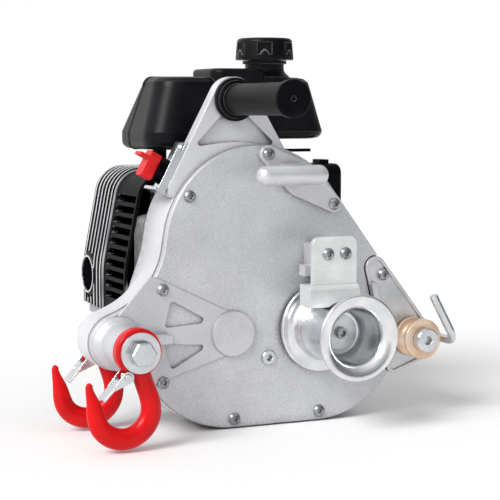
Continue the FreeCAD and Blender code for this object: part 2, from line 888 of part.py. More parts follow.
def loft(body, first, others, kind="Additive"):
    """Straight walls from one sketch through others."""
    skin = body.newObject(f"PartDesign::{kind}Loft", f"{body.Label}_loft")
    skin.Profile = first
    skin.Sections = others
    skin.Ruled = True
    if kind == "Subtractive":
        CUTS.append(skin)
    return skin


def soften(body, radius, wanted, kind="Fillet"):
    """Round or bevel the edges of the body that wanted() picks."""
    doc.recompute()
    base = body.Tip
    names = [f"Edge{i}" for i, edge in enumerate(base.Shape.Edges, start=1) if wanted(edge)]
    rounded = body.newObject(f"PartDesign::{kind}", f"{body.Label}_{kind.lower()}")
    rounded.Base = (base, names)
    bind(rounded, "Radius" if kind == "Fillet" else "Size", radius)
    return rounded


def group(label, members):
    """One node that holds several alike solids."""
    whole = doc.addObject("Part::Compound", label)
    whole.Label = label
    whole.Links = members
    NODES.append(whole)
    return whole


def free_form(label, shape, x="0", y="0", z="0"):
    """A node whose shape is worked out from the sheet in code."""
    feature = doc.addObject("Part::Feature", label)
    feature.Label = label
    feature.Shape = shape
    place = point(measure(x), measure(y) - measure(CASE_MIDDLE), measure(z))
    feature.Placement = FreeCAD.Placement(place, FreeCAD.Rotation())
    NODES.append(feature)
    return feature


def ring(label, x, z, inner, outer, start, width, node=True):
    """A plain ring about an axis along Y."""
    body = body_at(label, x, start, z, node=node)
    grow(body, "front", [disc("0", "0", outer), disc("0", "0", inner)], "0", width)
    return body


def edge_at_y(place, body_y="0"):
    """Pick edges that lie whole in one plane across Y."""
    level = measure(place) - measure(body_y)

    def wanted(edge):
        box = edge.BoundBox
        return abs(box.YMin - level) < 1e-4 and abs(box.YMax - level) < 1e-4
    return wanted


def edge_at_z(place):
    """Pick edges that lie whole in one level plane."""
    level = measure(place)

    def wanted(edge):
        box = edge.BoundBox
        return abs(box.ZMin - level) < 1e-4 and abs(box.ZMax - level) < 1e-4
    return wanted


# Screw places: x, z and the plane under each head

COVER_SCREWS = [
    ("crown_screw_x", "crown_screw_z", "0"),
    ("neck_screw_x", "neck_screw_z", "-band_height"),
    ("low_screw_x", "low_screw_z", "-band_height"),
    ("base_screw_x", "base_screw_z", "0"),
    ("toe_screw_x", "toe_screw_z", "0"),
    ("cleat_tip_x", "cleat_tip_z", "-cleat_thick"),
    ("cleat_heel_x", "cleat_heel_z", "-cleat_thick"),
    ("arm_screw_x", "arm_screw_z", "-arm_proud"),
]
GUARD_FRONT = "(-block_depth - guard_thick)"
GUARD_SCREWS = [("guard_screw_left_x", "guard_screw_z"), ("guard_screw_right_x", "guard_screw_z")]
SCREW_HOLE = "screw_radius + thread_gap"


# Gear case


def make_gear_case():
    """The cast case: deep tray with lug, screw bosses, bearing seats and the handle frame."""
    case = body_at("gear_case")
    grow(case, "front", [case_outline()], CASE_FRONT, f"lug_rear - {CASE_FRONT}")
    grow(case, "front", [case_outline(with_lug=False)], "lug_rear", f"{CASE_REAR} - lug_rear")
    soften(case, "case_edge_round", edge_at_y(CASE_REAR))
    frame = [
        ("apex_left_x", "apex_left_z", "apex_foot_radius", "in"),
        ("apex_right_x", "apex_right_z", "apex_foot_radius", "in"),
        ("handle_x", "handle_z", "apex_radius", "in"),
    ]
    grow(case, "front", [frame], CASE_FRONT, f"apex_rear - {CASE_FRONT}")
    inside = case_outline("case_wall", with_lug=False)
    cut(case, "front", [inside], CASE_FRONT, f"{CASE_FLOOR} - {CASE_FRONT}")
    web_top = f"({CRANK_Z} + crown_radius + apex_web_drop)"
    web = [
        ("apex_left_x + apex_web_left", f"{web_top} - apex_web_sag", "apex_web_round"),
        ("handle_x", web_top, "apex_web_arch"),
        ("apex_right_x - apex_web_right", f"{web_top} - apex_web_sag", "apex_web_round"),
        ("handle_x + apex_radius - apex_flange * 2", "handle_z - apex_radius / 2", "apex_flange"),
        ("handle_x - apex_radius + apex_flange * 2", "handle_z - apex_radius / 2", "apex_flange"),
    ]
    cut(case, "front", [web], CASE_FRONT, "apex_recess")
    cut(case, "front", [web], "apex_rear - apex_recess", "apex_recess")
    for x, z, _ in COVER_SCREWS:
        grow(case, "front", [disc(x, z, "screw_boss_radius")], CASE_FRONT, "screw_boss_depth")
    holes = [disc(x, z, SCREW_HOLE) for x, z, _ in COVER_SCREWS]
    cut(case, "front", holes, CASE_FRONT, "screw_reach + overrun")
    cut(case, "front", [disc("crank_x", CRANK_Z, "clutch_bore_radius")], CASE_FLOOR, "case_back")
    seats = [
        disc(DRUM_X, "drum_z", "rear_bearing_radius"),
        disc("lay_x", "lay_z", "lay_bearing_radius"),
    ]
    cut(case, "front", seats, CASE_FLOOR, "rear_bearing_width")
    grow(case, "front", [disc("lug_x", "lug_z", "anchor_boss_radius")], "lug_rear", "lug_seat")
    through = [
        disc("lug_x", "lug_z", "anchor_radius + thread_gap"),
        disc("handle_x", "handle_z", "bar_radius + thread_gap"),
    ]
    cut(case, "front", through, CASE_FRONT, "case_depth")


def make_front_cover():
    """The cast cover: band and pockets beside the lug, bearing bosses and the anchor boss."""
    cover = body_at("front_cover")
    grow(cover, "front", [case_outline("cover_inset")], "0", "cover_thick")
    soften(cover, "edge_round", edge_at_y("0"))
    band = [
        ("band_left_x", "band_left_low_z", "band_corner"),
        ("lay_x", "band_boss_low_z"),
        ("lay_x", "band_boss_top_z"),
        ("band_left_x", "band_left_top_z", "band_corner"),
        ("lug_x", "lug_z + anchor_boss_base_radius", "band_corner"),
        ("lug_x", "lug_z - anchor_boss_base_radius", "band_corner"),
    ]
    grow(cover, "front", [band], "-band_height", "band_height + edge_round")
    upper = [
        ("pocket_left_x", "pocket_upper_z", "pocket_corner"),
        ("pocket_right_x", "pocket_upper_z + pocket_corner", "pocket_corner"),
        ("pocket_peak_x", "pocket_top_z", "pocket_corner"),
    ]
    lower = [
        ("pocket_left_x", "pocket_lower_z", "pocket_corner"),
        ("pocket_right_x", "pocket_lower_z - pocket_corner", "pocket_corner"),
        ("pocket_peak_x", "pocket_low_z", "pocket_corner"),
    ]
    cut(cover, "front", [upper, lower], "-band_height", "pocket_depth")
    boss = disc("lay_x", "lay_z", "lay_boss_radius")
    grow(cover, "front", [boss], "-lay_boss_height", "lay_boss_height + edge_round")
    gusset = rect("lug_x", "gusset_low_z", "gusset_right_x", "gusset_high_z")
    grow(cover, "front", [gusset], "-gusset_height", "gusset_height + edge_round")
    anchor = [
        ("0", "edge_round"),
        ("anchor_boss_base_radius", "edge_round"),
        ("anchor_boss_base_radius", "anchor_base_front", "edge_round"),
        ("anchor_boss_radius", "anchor_base_front - anchor_cove", "anchor_cove"),
        ("anchor_boss_radius", "anchor_boss_front", "edge_round"),
        ("0", "anchor_boss_front"),
    ]
    spin(cover, "Y", anchor, x="lug_x", z="lug_z")
    inner = [disc(DRUM_X, "drum_z", "inner_boss_radius")]
    grow(cover, "front", inner, "cover_thick", "inner_boss_depth")
    grow(cover, "front", [disc("crank_x", CRANK_Z, "input_boss_radius")], "cover_thick", "input_boss_depth")
    cut(cover, "front", [arm_outline("recess_gap")], "0", "recess_depth")
    cut(cover, "front", [disc(DRUM_X, "drum_z", "front_bearing_radius")], "0",
        "cover_thick + inner_boss_depth")
    cut(cover, "front", [disc("crank_x", CRANK_Z, "input_bearing_radius")],
        "cover_thick + input_boss_depth - input_bearing_width", "input_bearing_width")
    cut(cover, "front", [disc("lay_x", "lay_z", "lay_bearing_radius")],
        "cover_thick - lay_bearing_width", "lay_bearing_width")
    holes = [disc(x, z, SCREW_HOLE) for x, z, _ in COVER_SCREWS]
    holes.append(disc("plug_x", "plug_z", "plug_thread_radius + thread_gap"))
    cut(cover, "front", holes, "-band_height", "cover_thick + band_height")
    bolt = [disc("lug_x", "lug_z", "anchor_radius + thread_gap")]
    cut(cover, "front", bolt, "anchor_boss_front", "cover_thick - anchor_boss_front")


def make_gasket():
    """Thin sealing sheet that follows the case rim."""
    seal = body_at("cover_gasket")
    outer = case_outline("cover_inset", with_lug=False)
    inner = case_outline("cover_inset + gasket_width", with_lug=False)
    grow(seal, "front", [outer, inner], "cover_thick", "gasket_thick")
    for x, z, _ in COVER_SCREWS:
        lobe = disc(x, z, "screw_boss_radius - cover_inset")
        grow(seal, "front", [lobe], "cover_thick", "gasket_thick")
    holes = [disc(x, z, SCREW_HOLE) for x, z, _ in COVER_SCREWS]
    cut(seal, "front", holes, "cover_thick", "gasket_thick")


def button_screw(name, x, y, z, length):
    """Domed screw with a hex socket, head towards the viewer."""
    screw = body_at(name, x, y, z, node=False)
    profile = [
        ("0", "-button_height"),
        ("button_radius * button_dome_share", "-button_height", "button_height"),
        ("button_radius", "-button_height * button_side_share"),
        ("button_radius", "0"),
        ("screw_radius", "0"),
        ("screw_radius", length),
        ("0", length),
    ]
    spin(screw, "Y", profile)
    cut(screw, "front", [hexagon("socket_across")], "-button_height", "socket_depth")
    return screw


def make_button_screws():
    """All alike button head screws: cover, cleat, arm, guard and throttle bracket."""
    screws = []
    for number, (x, z, seat) in enumerate(COVER_SCREWS):
        length = f"{CASE_FRONT} + screw_reach - ({seat})"
        screws.append(button_screw(f"button_screw_{number}", x, seat, z, length))
    for number, (x, z) in enumerate(GUARD_SCREWS):
        screws.append(button_screw(f"guard_screw_{number}", x, GUARD_FRONT, z, "guard_screw_length"))
    screws.append(bracket_screw())
    group("button_screws", screws)


def make_oil_plug():
    """Filler plug with a bright sealing face."""
    plug = body_at("oil_plug", "plug_x", "0", "plug_z")
    profile = [
        ("0", "-plug_head"),
        ("plug_radius - plug_chamfer", "-plug_head"),
        ("plug_radius", "plug_chamfer - plug_head"),
        ("plug_radius", "0"),
        ("plug_thread_radius", "0"),
        ("plug_thread_radius", "plug_length"),
        ("0", "plug_length"),
    ]
    spin(plug, "Y", profile)
    cut(plug, "front", [hexagon("plug_socket")], "-plug_head", "plug_head * 2")


# Carrying handle


def make_handle():
    """Steel bar through the frame's eye, with a rubber grip pushed over it."""
    bar = body_at("handle_bar", "handle_x", "0", "handle_z")
    profile = [
        ("0", "bar_front"),
        ("bar_radius", "bar_front", "edge_round"),
        ("bar_radius", "apex_rear"),
        ("bar_shoulder_radius", "apex_rear"),
        ("bar_shoulder_radius", "apex_rear + bar_shoulder_length", "edge_round"),
        ("0", "apex_rear + bar_shoulder_length"),
    ]
    spin(bar, "Y", profile)
    grip = body_at("handle_grip", "handle_x", "0", "handle_z")
    rear = f"{CASE_FRONT}"
    neck = "grip_front + grip_end_length"
    sleeve = [
        ("bar_radius + thread_gap", rear),
        ("grip_flange_radius", rear, "grip_round"),
        ("grip_flange_radius", f"{rear} - grip_flange_length", "grip_round"),
        ("grip_collar_radius", f"{rear} - grip_flange_length"),
        ("grip_collar_radius", f"{rear} - grip_collar_length", "grip_round"),
        ("grip_radius", f"{rear} - grip_collar_length"),
        ("grip_radius", f"{neck} + grip_groove_length"),
        ("grip_radius - grip_groove", f"{neck} + grip_groove_length"),
        ("grip_radius - grip_groove", neck),
        ("grip_end_radius", neck, "grip_round"),
        ("grip_end_radius", "grip_front", "grip_round"),
        ("grip_dimple_radius", "grip_front"),
        ("grip_dimple_radius", "bar_front - thread_gap"),
        ("bar_radius + thread_gap", "bar_front - thread_gap"),
    ]
    spin(grip, "Y", sleeve)


# Drum, shaft and gear train


def make_drum():
    """Spool with flared ends and a deep cup in front, keyed on the output shaft."""
    drum = body_at("capstan_drum", DRUM_X, "0", "drum_z")
    flare_x = "drum_core_radius + drum_flare"
    rear_flare_x = "drum_core_radius + drum_rear_flare"
    rear_flare_y = "drum_rear - drum_rim - drum_rear_flare"
    profile = [
        ("shaft_radius + thread_gap", "drum_rear"),
        ("drum_rear_radius", "drum_rear", "drum_rim_round"),
        ("drum_rear_radius", "drum_rear - drum_rim", "drum_rim_round"),
        (rear_flare_x, rear_flare_y, "drum_rear_flare", "out"),
        (flare_x, "drum_front + drum_rim + drum_flare", "drum_flare", "out"),
        ("drum_front_radius", "drum_front + drum_rim", "drum_rim_round"),
        ("drum_front_radius", "drum_front", "drum_rim_round"),
        ("cup_mouth_radius", "drum_front", "cup_mouth_round"),
        ("cup_floor_radius", "cup_floor", "cup_round"),
        ("shaft_radius + thread_gap", "cup_floor"),
    ]
    flipped = [profile[0]] + profile[:0:-1]
    flipped = [v[:3] + ("out",) if len(v) == 4 else v for v in flipped]
    spin(drum, "Y", flipped)
    retainer = body_at("drum_retainer", DRUM_X, "cup_floor", "drum_z")
    loops = [disc("0", "0", "retainer_radius"), disc("0", "0", "drum_screw_radius + thread_gap")]
    grow(retainer, "front", loops, "-retainer_thick", "retainer_thick")
    soften(retainer, "edge_round", edge_at_y("-retainer_thick"))
    screw = body_at("drum_screw", DRUM_X, "cup_floor - retainer_thick", "drum_z")
    head = [
        ("0", "-drum_screw_head"),
        ("drum_screw_head_radius", "-drum_screw_head", "edge_round"),
        ("drum_screw_head_radius", "0"),
        ("drum_screw_radius", "0"),
        ("drum_screw_radius", "drum_screw_length"),
        ("0", "drum_screw_length"),
    ]
    spin(screw, "Y", head)
    cut(screw, "front", [hexagon("drum_screw_socket")], "-drum_screw_head", "drum_screw_socket_depth")


def make_output_shaft():
    """Drum shaft: front seat, hex for the gear and a thin rear journal."""
    shaft = body_at("output_shaft", DRUM_X, "0", "drum_z")
    grow(shaft, "front", [disc("0", "0", "shaft_radius")], "shaft_front", "output_gear_front - shaft_front")
    grow(shaft, "front", [hexagon("gear_hub_across")], "output_gear_front", "output_gear_width")
    gear_rear = "(output_gear_front + output_gear_width)"
    tail = [disc("0", "0", "shaft_rear_radius")]
    grow(shaft, "front", tail, gear_rear, f"shaft_rear - {gear_rear}")
    hole = [disc("0", "0", "drum_screw_radius + thread_gap")]
    cut(shaft, "front", hole, "shaft_front", "drum_screw_length")


def make_bearings():
    """Plain rings that stand for ball bearings, and the shaft seal."""
    inner = "shaft_radius + running_gap"
    start = "cover_thick + inner_boss_depth - front_bearing_width"
    front = ring("drum_bearing_front", DRUM_X, "drum_z", inner, "front_bearing_radius",
                 start, "front_bearing_width", node=False)
    rear = ring("drum_bearing_rear", DRUM_X, "drum_z", "shaft_rear_radius + running_gap",
                "rear_bearing_radius", CASE_FLOOR, "rear_bearing_width", node=False)
    ring("shaft_seal", DRUM_X, "drum_z", "shaft_radius + seal_lip_gap", "front_bearing_radius",
         f"{start} - seal_width", "seal_width")
    lay_inner = "lay_journal_radius + running_gap"
    lay_front = ring("lay_bearing_front", "lay_x", "lay_z", lay_inner, "lay_bearing_radius",
                     "cover_thick - lay_bearing_width", "lay_bearing_width", node=False)
    lay_rear = ring("lay_bearing_rear", "lay_x", "lay_z", lay_inner, "lay_bearing_radius",
                    CASE_FLOOR, "rear_bearing_width", node=False)
    pinion_end = ring("input_bearing", "crank_x", CRANK_Z, "input_journal_radius + running_gap",
                      "input_bearing_radius", "cover_thick + input_boss_depth - input_bearing_width",
                      "input_bearing_width", node=False)
    group("ball_bearings", [front, rear, lay_front, lay_rear, pinion_end])


def make_layshaft():
    """Intermediate shaft: hex between two journals."""
    shaft = body_at("layshaft", "lay_x", "0", "lay_z")
    front = "cover_thick - lay_bearing_width + journal_end_gap"
    hex_start = "output_gear_front - pinion_overlap"
    hex_end = "lay_gear_front + lay_gear_width + pinion_overlap"
    journal = [disc("0", "0", "lay_journal_radius")]
    grow(shaft, "front", journal, front, f"{hex_start} - ({front})")
    grow(shaft, "front", [hexagon("lay_hex_across")], hex_start, f"{hex_end} - ({hex_start})")
    rear = f"{CASE_FLOOR} + rear_bearing_width - journal_end_gap"
    grow(shaft, "front", journal, hex_end, f"{rear} - ({hex_end})")


def involute_flank(teeth, module, shift, pressure, steps=4):
    """Half angles of a tooth and their radii, from root to tip."""
    pitch = module * teeth / 2
    base = pitch * math.cos(pressure)
    root = pitch - module * (1.25 - shift)
    tip = pitch + module * (1 + shift)
    thick = module * (math.pi / 2 + 2 * shift * math.tan(pressure)) - measure("tooth_backlash") / 2
    at_pitch = thick / (2 * pitch) + math.tan(pressure) - pressure

    def half(radius):
        lean = math.acos(min(1.0, base / radius))
        return at_pitch - (math.tan(lean) - lean)
    low = max(base, root)
    radii = [low + (tip - low) * k / steps for k in range(steps + 1)]
    flank = [(half(radius), radius) for radius in radii]
    if root < base:
        flank.insert(0, (flank[0][0], root))
    return flank


def gear_shape(teeth, module, shift, width, across, tooth_at):
    """Spur gear with flat-sided teeth and a hex bore; a tooth points at angle tooth_at."""
    teeth = int(teeth)
    flank = involute_flank(teeth, module, shift, math.radians(20))
    corners = []
    for tooth in range(teeth):
        middle = tooth_at + 2 * math.pi * tooth / teeth
        side = [(middle - half, radius) for half, radius in flank]
        side += [(middle + half, radius) for half, radius in reversed(flank)]
        corners += side
    rim = [point(r * math.cos(a), 0, r * math.sin(a)) for a, r in corners]
    bore = [point(across / math.sqrt(3) * math.cos(math.pi / 3 * k), 0,
                  across / math.sqrt(3) * math.sin(math.pi / 3 * k)) for k in range(6)]
    disk = Part.Face(Part.makePolygon(rim + rim[:1])).extrude(point(0, width, 0))
    core = Part.Face(Part.makePolygon(bore + bore[:1])).extrude(point(0, width, 0))
    return disk.cut(core)


def make_gears():
    """Two reduction stages: clutch pinion to layshaft gear, layshaft pinion to output gear."""
    shift = measure("tooth_shift_share")
    lay_x, lay_z = measure("lay_x"), measure("lay_z")
    up = math.atan2(measure(CRANK_Z) - lay_z, measure("crank_x") - lay_x)
    across = math.atan2(measure("drum_z") - lay_z, measure(DRUM_X) - lay_x)
    overlap = measure("pinion_overlap")
    gap = measure("hex_gap")
    first_gear_teeth = measure("first_gear_teeth")
    second_gear_teeth = measure("second_gear_teeth")
    wide = measure("output_gear_width")
    narrow = measure("lay_gear_width")
    free_form("output_gear", gear_shape(
        second_gear_teeth, measure("second_module"), -shift, wide,
        measure("gear_hub_across") + gap, across + math.pi + math.pi / second_gear_teeth,
    ), DRUM_X, "output_gear_front", "drum_z")
    free_form("layshaft_pinion", gear_shape(
        measure("second_pinion_teeth"), measure("second_module"), shift, wide + 2 * overlap,
        measure("lay_hex_across") + gap, across,
    ), "lay_x", "output_gear_front - pinion_overlap", "lay_z")
    free_form("layshaft_gear", gear_shape(
        first_gear_teeth, measure("first_module"), -shift, narrow,
        measure("lay_hex_across") + gap, up + math.pi / first_gear_teeth,
    ), "lay_x", "lay_gear_front", "lay_z")
    free_form("input_pinion", gear_shape(
        measure("first_pinion_teeth"), measure("first_module"), shift, narrow + 2 * overlap,
        measure("input_hex_across") + gap, up + math.pi,
    ), "crank_x", "lay_gear_front - pinion_overlap", CRANK_Z)


def make_clutch():
    """Clutch bell with the input shaft, and the hub with two shoes that the crank carries."""
    bell = body_at("clutch_bell", "crank_x", "0", CRANK_Z)
    front = "cover_thick + input_boss_depth - input_bearing_width + journal_end_gap"
    hex_start = "lay_gear_front - pinion_overlap"
    grow(bell, "front", [disc("0", "0", "input_journal_radius")], front, f"{hex_start} - ({front})")
    grow(bell, "front", [hexagon("input_hex_across")], hex_start, f"bell_front - ({hex_start})")
    grow(bell, "front", [disc("0", "0", "bell_radius")], "bell_front", "bell_depth + bell_wall")
    hollow = [disc("0", "0", "bell_radius - bell_wall")]
    cut(bell, "front", hollow, "bell_front + bell_wall", "bell_depth")
    hub = [disc("0", "0", "bell_hub_radius"), disc("0", "0", "nose_radius + running_gap")]
    grow(bell, "front", hub, "bell_front + bell_wall", "nose_length / 2")
    nose_front = "(bell_front + bell_wall + bell_gap)"
    shoe_front = f"({nose_front} + nose_length / 2)"
    hub_ring = ring("clutch_hub", "crank_x", CRANK_Z, "clutch_seat_radius + hex_gap", "clutch_hub_radius",
                    shoe_front, "shoe_width", node=False)
    shoes = [hub_ring]
    halves = (("-bell_radius", "shoe_split / 2"), ("-shoe_split / 2", "bell_radius"))
    for number, (low, high) in enumerate(halves):
        shoe = body_at(f"clutch_shoe_{number}", "crank_x", shoe_front, CRANK_Z, node=False)
        outer = disc("0", "0", "bell_radius - bell_wall - shoe_gap")
        inner = disc("0", "0", "clutch_hub_radius + hex_gap")
        grow(shoe, "front", [outer, inner], "0", "shoe_width")
        cut(shoe, "front", [rect("-bell_radius", low, "bell_radius", high)], "0", "shoe_width")
        shoes.append(shoe)
    group("clutch_shoes", shoes)
    crank = body_at("crankshaft", "crank_x", "0", CRANK_Z)
    seat_end = f"({shoe_front} + shoe_width)"
    web = "(engine_face + web_front)"
    front_half = [
        ("0", nose_front),
        ("nose_radius", nose_front),
        ("nose_radius", shoe_front),
        ("clutch_seat_radius", shoe_front),
        ("clutch_seat_radius", seat_end),
        ("crank_radius", seat_end),
        ("crank_radius", web),
        ("web_radius", web, "edge_round"),
        ("web_radius", f"{web} + web_thick"),
        ("0", f"{web} + web_thick"),
    ]
    spin(crank, "Y", front_half)
    pin = [disc("0", "pin_throw", "pin_radius")]
    grow(crank, "front", pin, f"{web} + web_thick", "pin_length")
    second = f"{web} + web_thick + pin_length"
    rear_half = [
        ("0", second),
        ("web_radius", second),
        ("web_radius", f"{second} + web_thick", "edge_round"),
        ("crank_radius", f"{second} + web_thick"),
        ("crank_radius", "engine_face + crank_rear"),
        ("0", "engine_face + crank_rear"),
    ]
    spin(crank, "Y", rear_half)
    wheel = body_at("flywheel", "crank_x", "engine_face + flywheel_front", CRANK_Z)
    dished = [
        ("crank_radius + hex_gap", "0"),
        ("flywheel_hub_radius", "0"),
        ("flywheel_hub_radius", "flywheel_dish"),
        ("flywheel_radius - flywheel_rim", "flywheel_dish"),
        ("flywheel_radius - flywheel_rim", "0"),
        ("flywheel_radius", "0", "edge_round"),
        ("flywheel_radius", "flywheel_thick", "edge_round"),
        ("crank_radius + hex_gap", "flywheel_thick"),
    ]
    spin(wheel, "Y", dished)


# Rope guides


def make_guard():
    """Block on the cover that carries the plate which keeps the rope on the drum."""
    block = body_at("guard_block")
    outline = rect("block_left_x", "block_low_z", "block_right_x", "block_high_z", "block_round")
    grow(block, "front", [outline], "-block_depth", "block_depth")
    tab = rect("block_left_x - tab_reach", "tab_low_z", "block_left_x + block_round", "tab_high_z")
    grow(block, "front", [tab], "-tab_front", "tab_depth")
    holes = [disc(x, z, SCREW_HOLE) for x, z in GUARD_SCREWS]
    cut(block, "front", holes, "-block_depth", "guard_screw_length")
    guard = body_at("drum_guard")
    saddle_z = "drum_z + drum_core_radius + guard_drum_gap"
    plate = [
        ("guard_left_x", f"{saddle_z} + guard_saddle_top / 2"),
        ("guard_right_x", f"{saddle_z} + guard_saddle_top / 2"),
        ("guard_right_x", "guard_high_z", "guard_corner"),
        ("guard_left_x", "guard_high_z", "guard_corner"),
    ]
    grow(guard, "front", [plate], GUARD_FRONT, "guard_thick")
    saddle_front = f"({GUARD_FRONT} - guard_saddle_proud)"
    saddle = [
        ("guard_saddle_rear", "drum_z + guard_saddle_low"),
        ("guard_saddle_rear", f"{saddle_z} + guard_saddle_top"),
        (saddle_front, f"{saddle_z} + guard_saddle_top", "guard_bend"),
        (saddle_front, "drum_z + guard_saddle_low"),
    ]
    grow(guard, "side", [saddle], "guard_saddle_left_x", "guard_right_x - guard_saddle_left_x")
    bore = [disc(DRUM_X, "drum_z", "drum_core_radius + guard_drum_gap")]
    cut(guard, "front", bore, saddle_front, f"guard_saddle_rear - {saddle_front}")
    cut(guard, "front", holes, GUARD_FRONT, "guard_thick")


def make_cleat():
    """Lens-shaped base, a post and a round bar under which the rope is jammed."""
    cleat = body_at("rope_cleat")
    run_x = "(cleat_heel_x - cleat_tip_x)"
    run_z = "(cleat_heel_z - cleat_tip_z)"
    span = f"sqrt({run_x}^2 + {run_z}^2)"
    middle_x = "(cleat_heel_x + cleat_tip_x) / 2"
    middle_z = "(cleat_heel_z + cleat_tip_z) / 2"

    def side(share):
        x = f"{middle_x} - {run_z} / {span} * (cleat_bulge - cleat_side_radius) * {share}"
        z = f"{middle_z} + {run_x} / {span} * (cleat_bulge - cleat_side_radius) * {share}"
        return (x, z, "cleat_side_radius", "in")
    base = [
        ("cleat_tip_x", "cleat_tip_z", "cleat_end_radius", "in"),
        side(-1),
        ("cleat_heel_x", "cleat_heel_z", "cleat_end_radius", "in"),
        side(1),
    ]
    grow(cleat, "front", [base], "-cleat_thick", "cleat_thick")
    soften(cleat, "edge_round", edge_at_y("-cleat_thick"))
    bottom = sketch_loops(cleat, "front", [rect(
        "cleat_post_x - cleat_post_width / 2", "cleat_post_z - cleat_post_height / 2",
        "cleat_post_x + cleat_post_width / 2", "cleat_post_z + cleat_post_height / 2",
        "cleat_post_corner")], "-cleat_thick + edge_round")
    top = sketch_loops(cleat, "front", [rect(
        "cleat_post_x - cleat_post_top_width / 2", "cleat_post_z - cleat_post_top_height / 2",
        "cleat_post_x + cleat_post_top_width / 2", "cleat_post_z + cleat_post_top_height / 2",
        "cleat_post_corner")], "cleat_bar_y")
    loft(cleat, bottom, [top])
    bar = [
        ("cleat_bar_left_x", "0"),
        ("cleat_bar_right_x", "0"),
        ("cleat_bar_right_x", "cleat_bar_radius", "cleat_bar_radius * cleat_bar_end_share"),
        ("cleat_bar_left_x", "cleat_bar_radius", "cleat_bar_radius * cleat_bar_end_share"),
    ]
    spin(cleat, "X", bar, y="cleat_bar_y", z="cleat_post_z")
    holes = [disc(x, z, SCREW_HOLE) for x, z, seat in COVER_SCREWS if "cleat" in seat]
    cut(cleat, "front", holes, "-cleat_thick", "cleat_thick")


def arm_outline(grown="0"):
    """Roller arm seen from the front."""
    return [
        ("arm_heel_x", "arm_heel_z", f"arm_heel_radius + {grown}", "in"),
        ("arm_corner_x", "arm_corner_z", f"arm_corner_radius + {grown}", "in"),
        ("arm_head_x", "arm_head_z", f"arm_head_radius + {grown}", "in"),
    ]


def make_arm():
    """Arm let into the cover, with a raised rim, a folded edge and a boss for the roller."""
    arm = body_at("roller_arm")
    grow(arm, "front", [arm_outline()], "-arm_proud", "arm_thick")
    soften(arm, "edge_round", edge_at_y("-arm_proud"))
    inner = [
        ("arm_heel_x", "arm_heel_z", "arm_heel_radius - arm_rib_width / 2", "in"),
        ("arm_corner_x", "arm_corner_z", "arm_corner_radius - arm_rib_width / 2", "in"),
        ("arm_head_x", "arm_head_z", "arm_head_radius - arm_rib_width / 2", "in"),
    ]
    cut(arm, "front", [inner], "-arm_proud", "arm_rib_height")
    fold = [
        ("arm_heel_x - arm_fold_low_left", "arm_heel_z + arm_fold_up", "arm_fold_radius", "in"),
        ("arm_head_x - arm_fold_left", "arm_head_z - arm_fold_down", "arm_fold_radius", "in"),
    ]
    grow(arm, "front", [fold], "-arm_proud - arm_fold_height", "arm_fold_height + arm_thick")
    soften(arm, "edge_round", edge_at_y("-arm_proud - arm_fold_height"))
    pads = [disc("roller_x", "roller_z", "arm_boss_radius")]
    grow(arm, "front", pads, "-arm_proud", "arm_thick + arm_boss_depth")
    keeper = [disc("keeper_x", "keeper_z", "keeper_seat_radius")]
    grow(arm, "front", keeper, "-arm_proud", "arm_thick")
    seat = [disc("arm_screw_x", "arm_screw_z", "button_radius + thread_gap")]
    grow(arm, "front", seat, "-arm_proud", "arm_thick")
    cut(arm, "front", [disc("arm_screw_x", "arm_screw_z", SCREW_HOLE)], "-arm_proud", "arm_thick")
    cut(arm, "front", [disc("roller_x", "roller_z", "roller_pin_radius + thread_gap")],
        "-arm_proud", "arm_thick + arm_boss_depth")
    cut(arm, "front", [disc("keeper_x", "keeper_z", "keeper_radius + thread_gap")], "-arm_proud", "arm_thick")


def make_roller():
    """Bronze rope roller on a shoulder bolt."""
    rear = "(-arm_proud - seat_gap)"
    front = f"({rear} - roller_length)"
    roller = body_at("entry_roller", "roller_x", "0", "roller_z")
    groove_x = "roller_groove_radius + roller_length / 2 - roller_flange"
    profile = [
        ("roller_pin_radius + running_gap", rear),
        ("roller_pin_radius + running_gap", front),
        ("roller_flange_radius", front, "roller_round"),
        ("roller_flange_radius", f"{front} + roller_flange", "roller_round"),
        (groove_x, f"({front} + {rear}) / 2", "roller_length / 2 - roller_flange", "out"),
        ("roller_flange_radius", f"{rear} - roller_flange", "roller_round"),
        ("roller_flange_radius", rear, "roller_round"),
    ]
    spin(roller, "Y", profile)
    bolt = body_at("roller_bolt", "roller_x", "0", "roller_z")
    seat = f"({front} - seat_gap)"
    shank = [
        ("0", f"{seat} - roller_head"),
        ("roller_head_radius - roller_head_chamfer", f"{seat} - roller_head"),
        ("roller_head_radius", f"{seat} - roller_head + roller_head_chamfer"),
        ("roller_head_radius", seat),
        ("roller_pin_radius", seat),
        ("roller_pin_radius", "arm_thick - arm_proud + arm_boss_depth"),
        ("0", "arm_thick - arm_proud + arm_boss_depth"),
    ]
    spin(bolt, "Y", shank)
    cut(bolt, "front", [hexagon("roller_socket")], f"{seat} - roller_head", "roller_socket_depth")


def make_keeper():
    """Bent rod beside the roller that keeps the rope in."""
    keeper = body_at("rope_keeper", "keeper_x", "0", "keeper_z", turn="-keeper_lean")
    path = sketch_on(keeper, "side")
    root = "arm_thick - arm_proud"
    corner = [
        (root, "0"),
        ("keeper_front", "0", "keeper_bend"),
        ("keeper_front", "keeper_leg + keeper_bend"),
    ]
    draw_path(path, corner)
    section = sketch_loops(keeper, "front", [disc("0", "0", "keeper_radius")], root)
    rod = keeper.newObject("PartDesign::AdditivePipe", "keeper_rod")
    rod.Profile = section
    rod.Spine = (path, [])


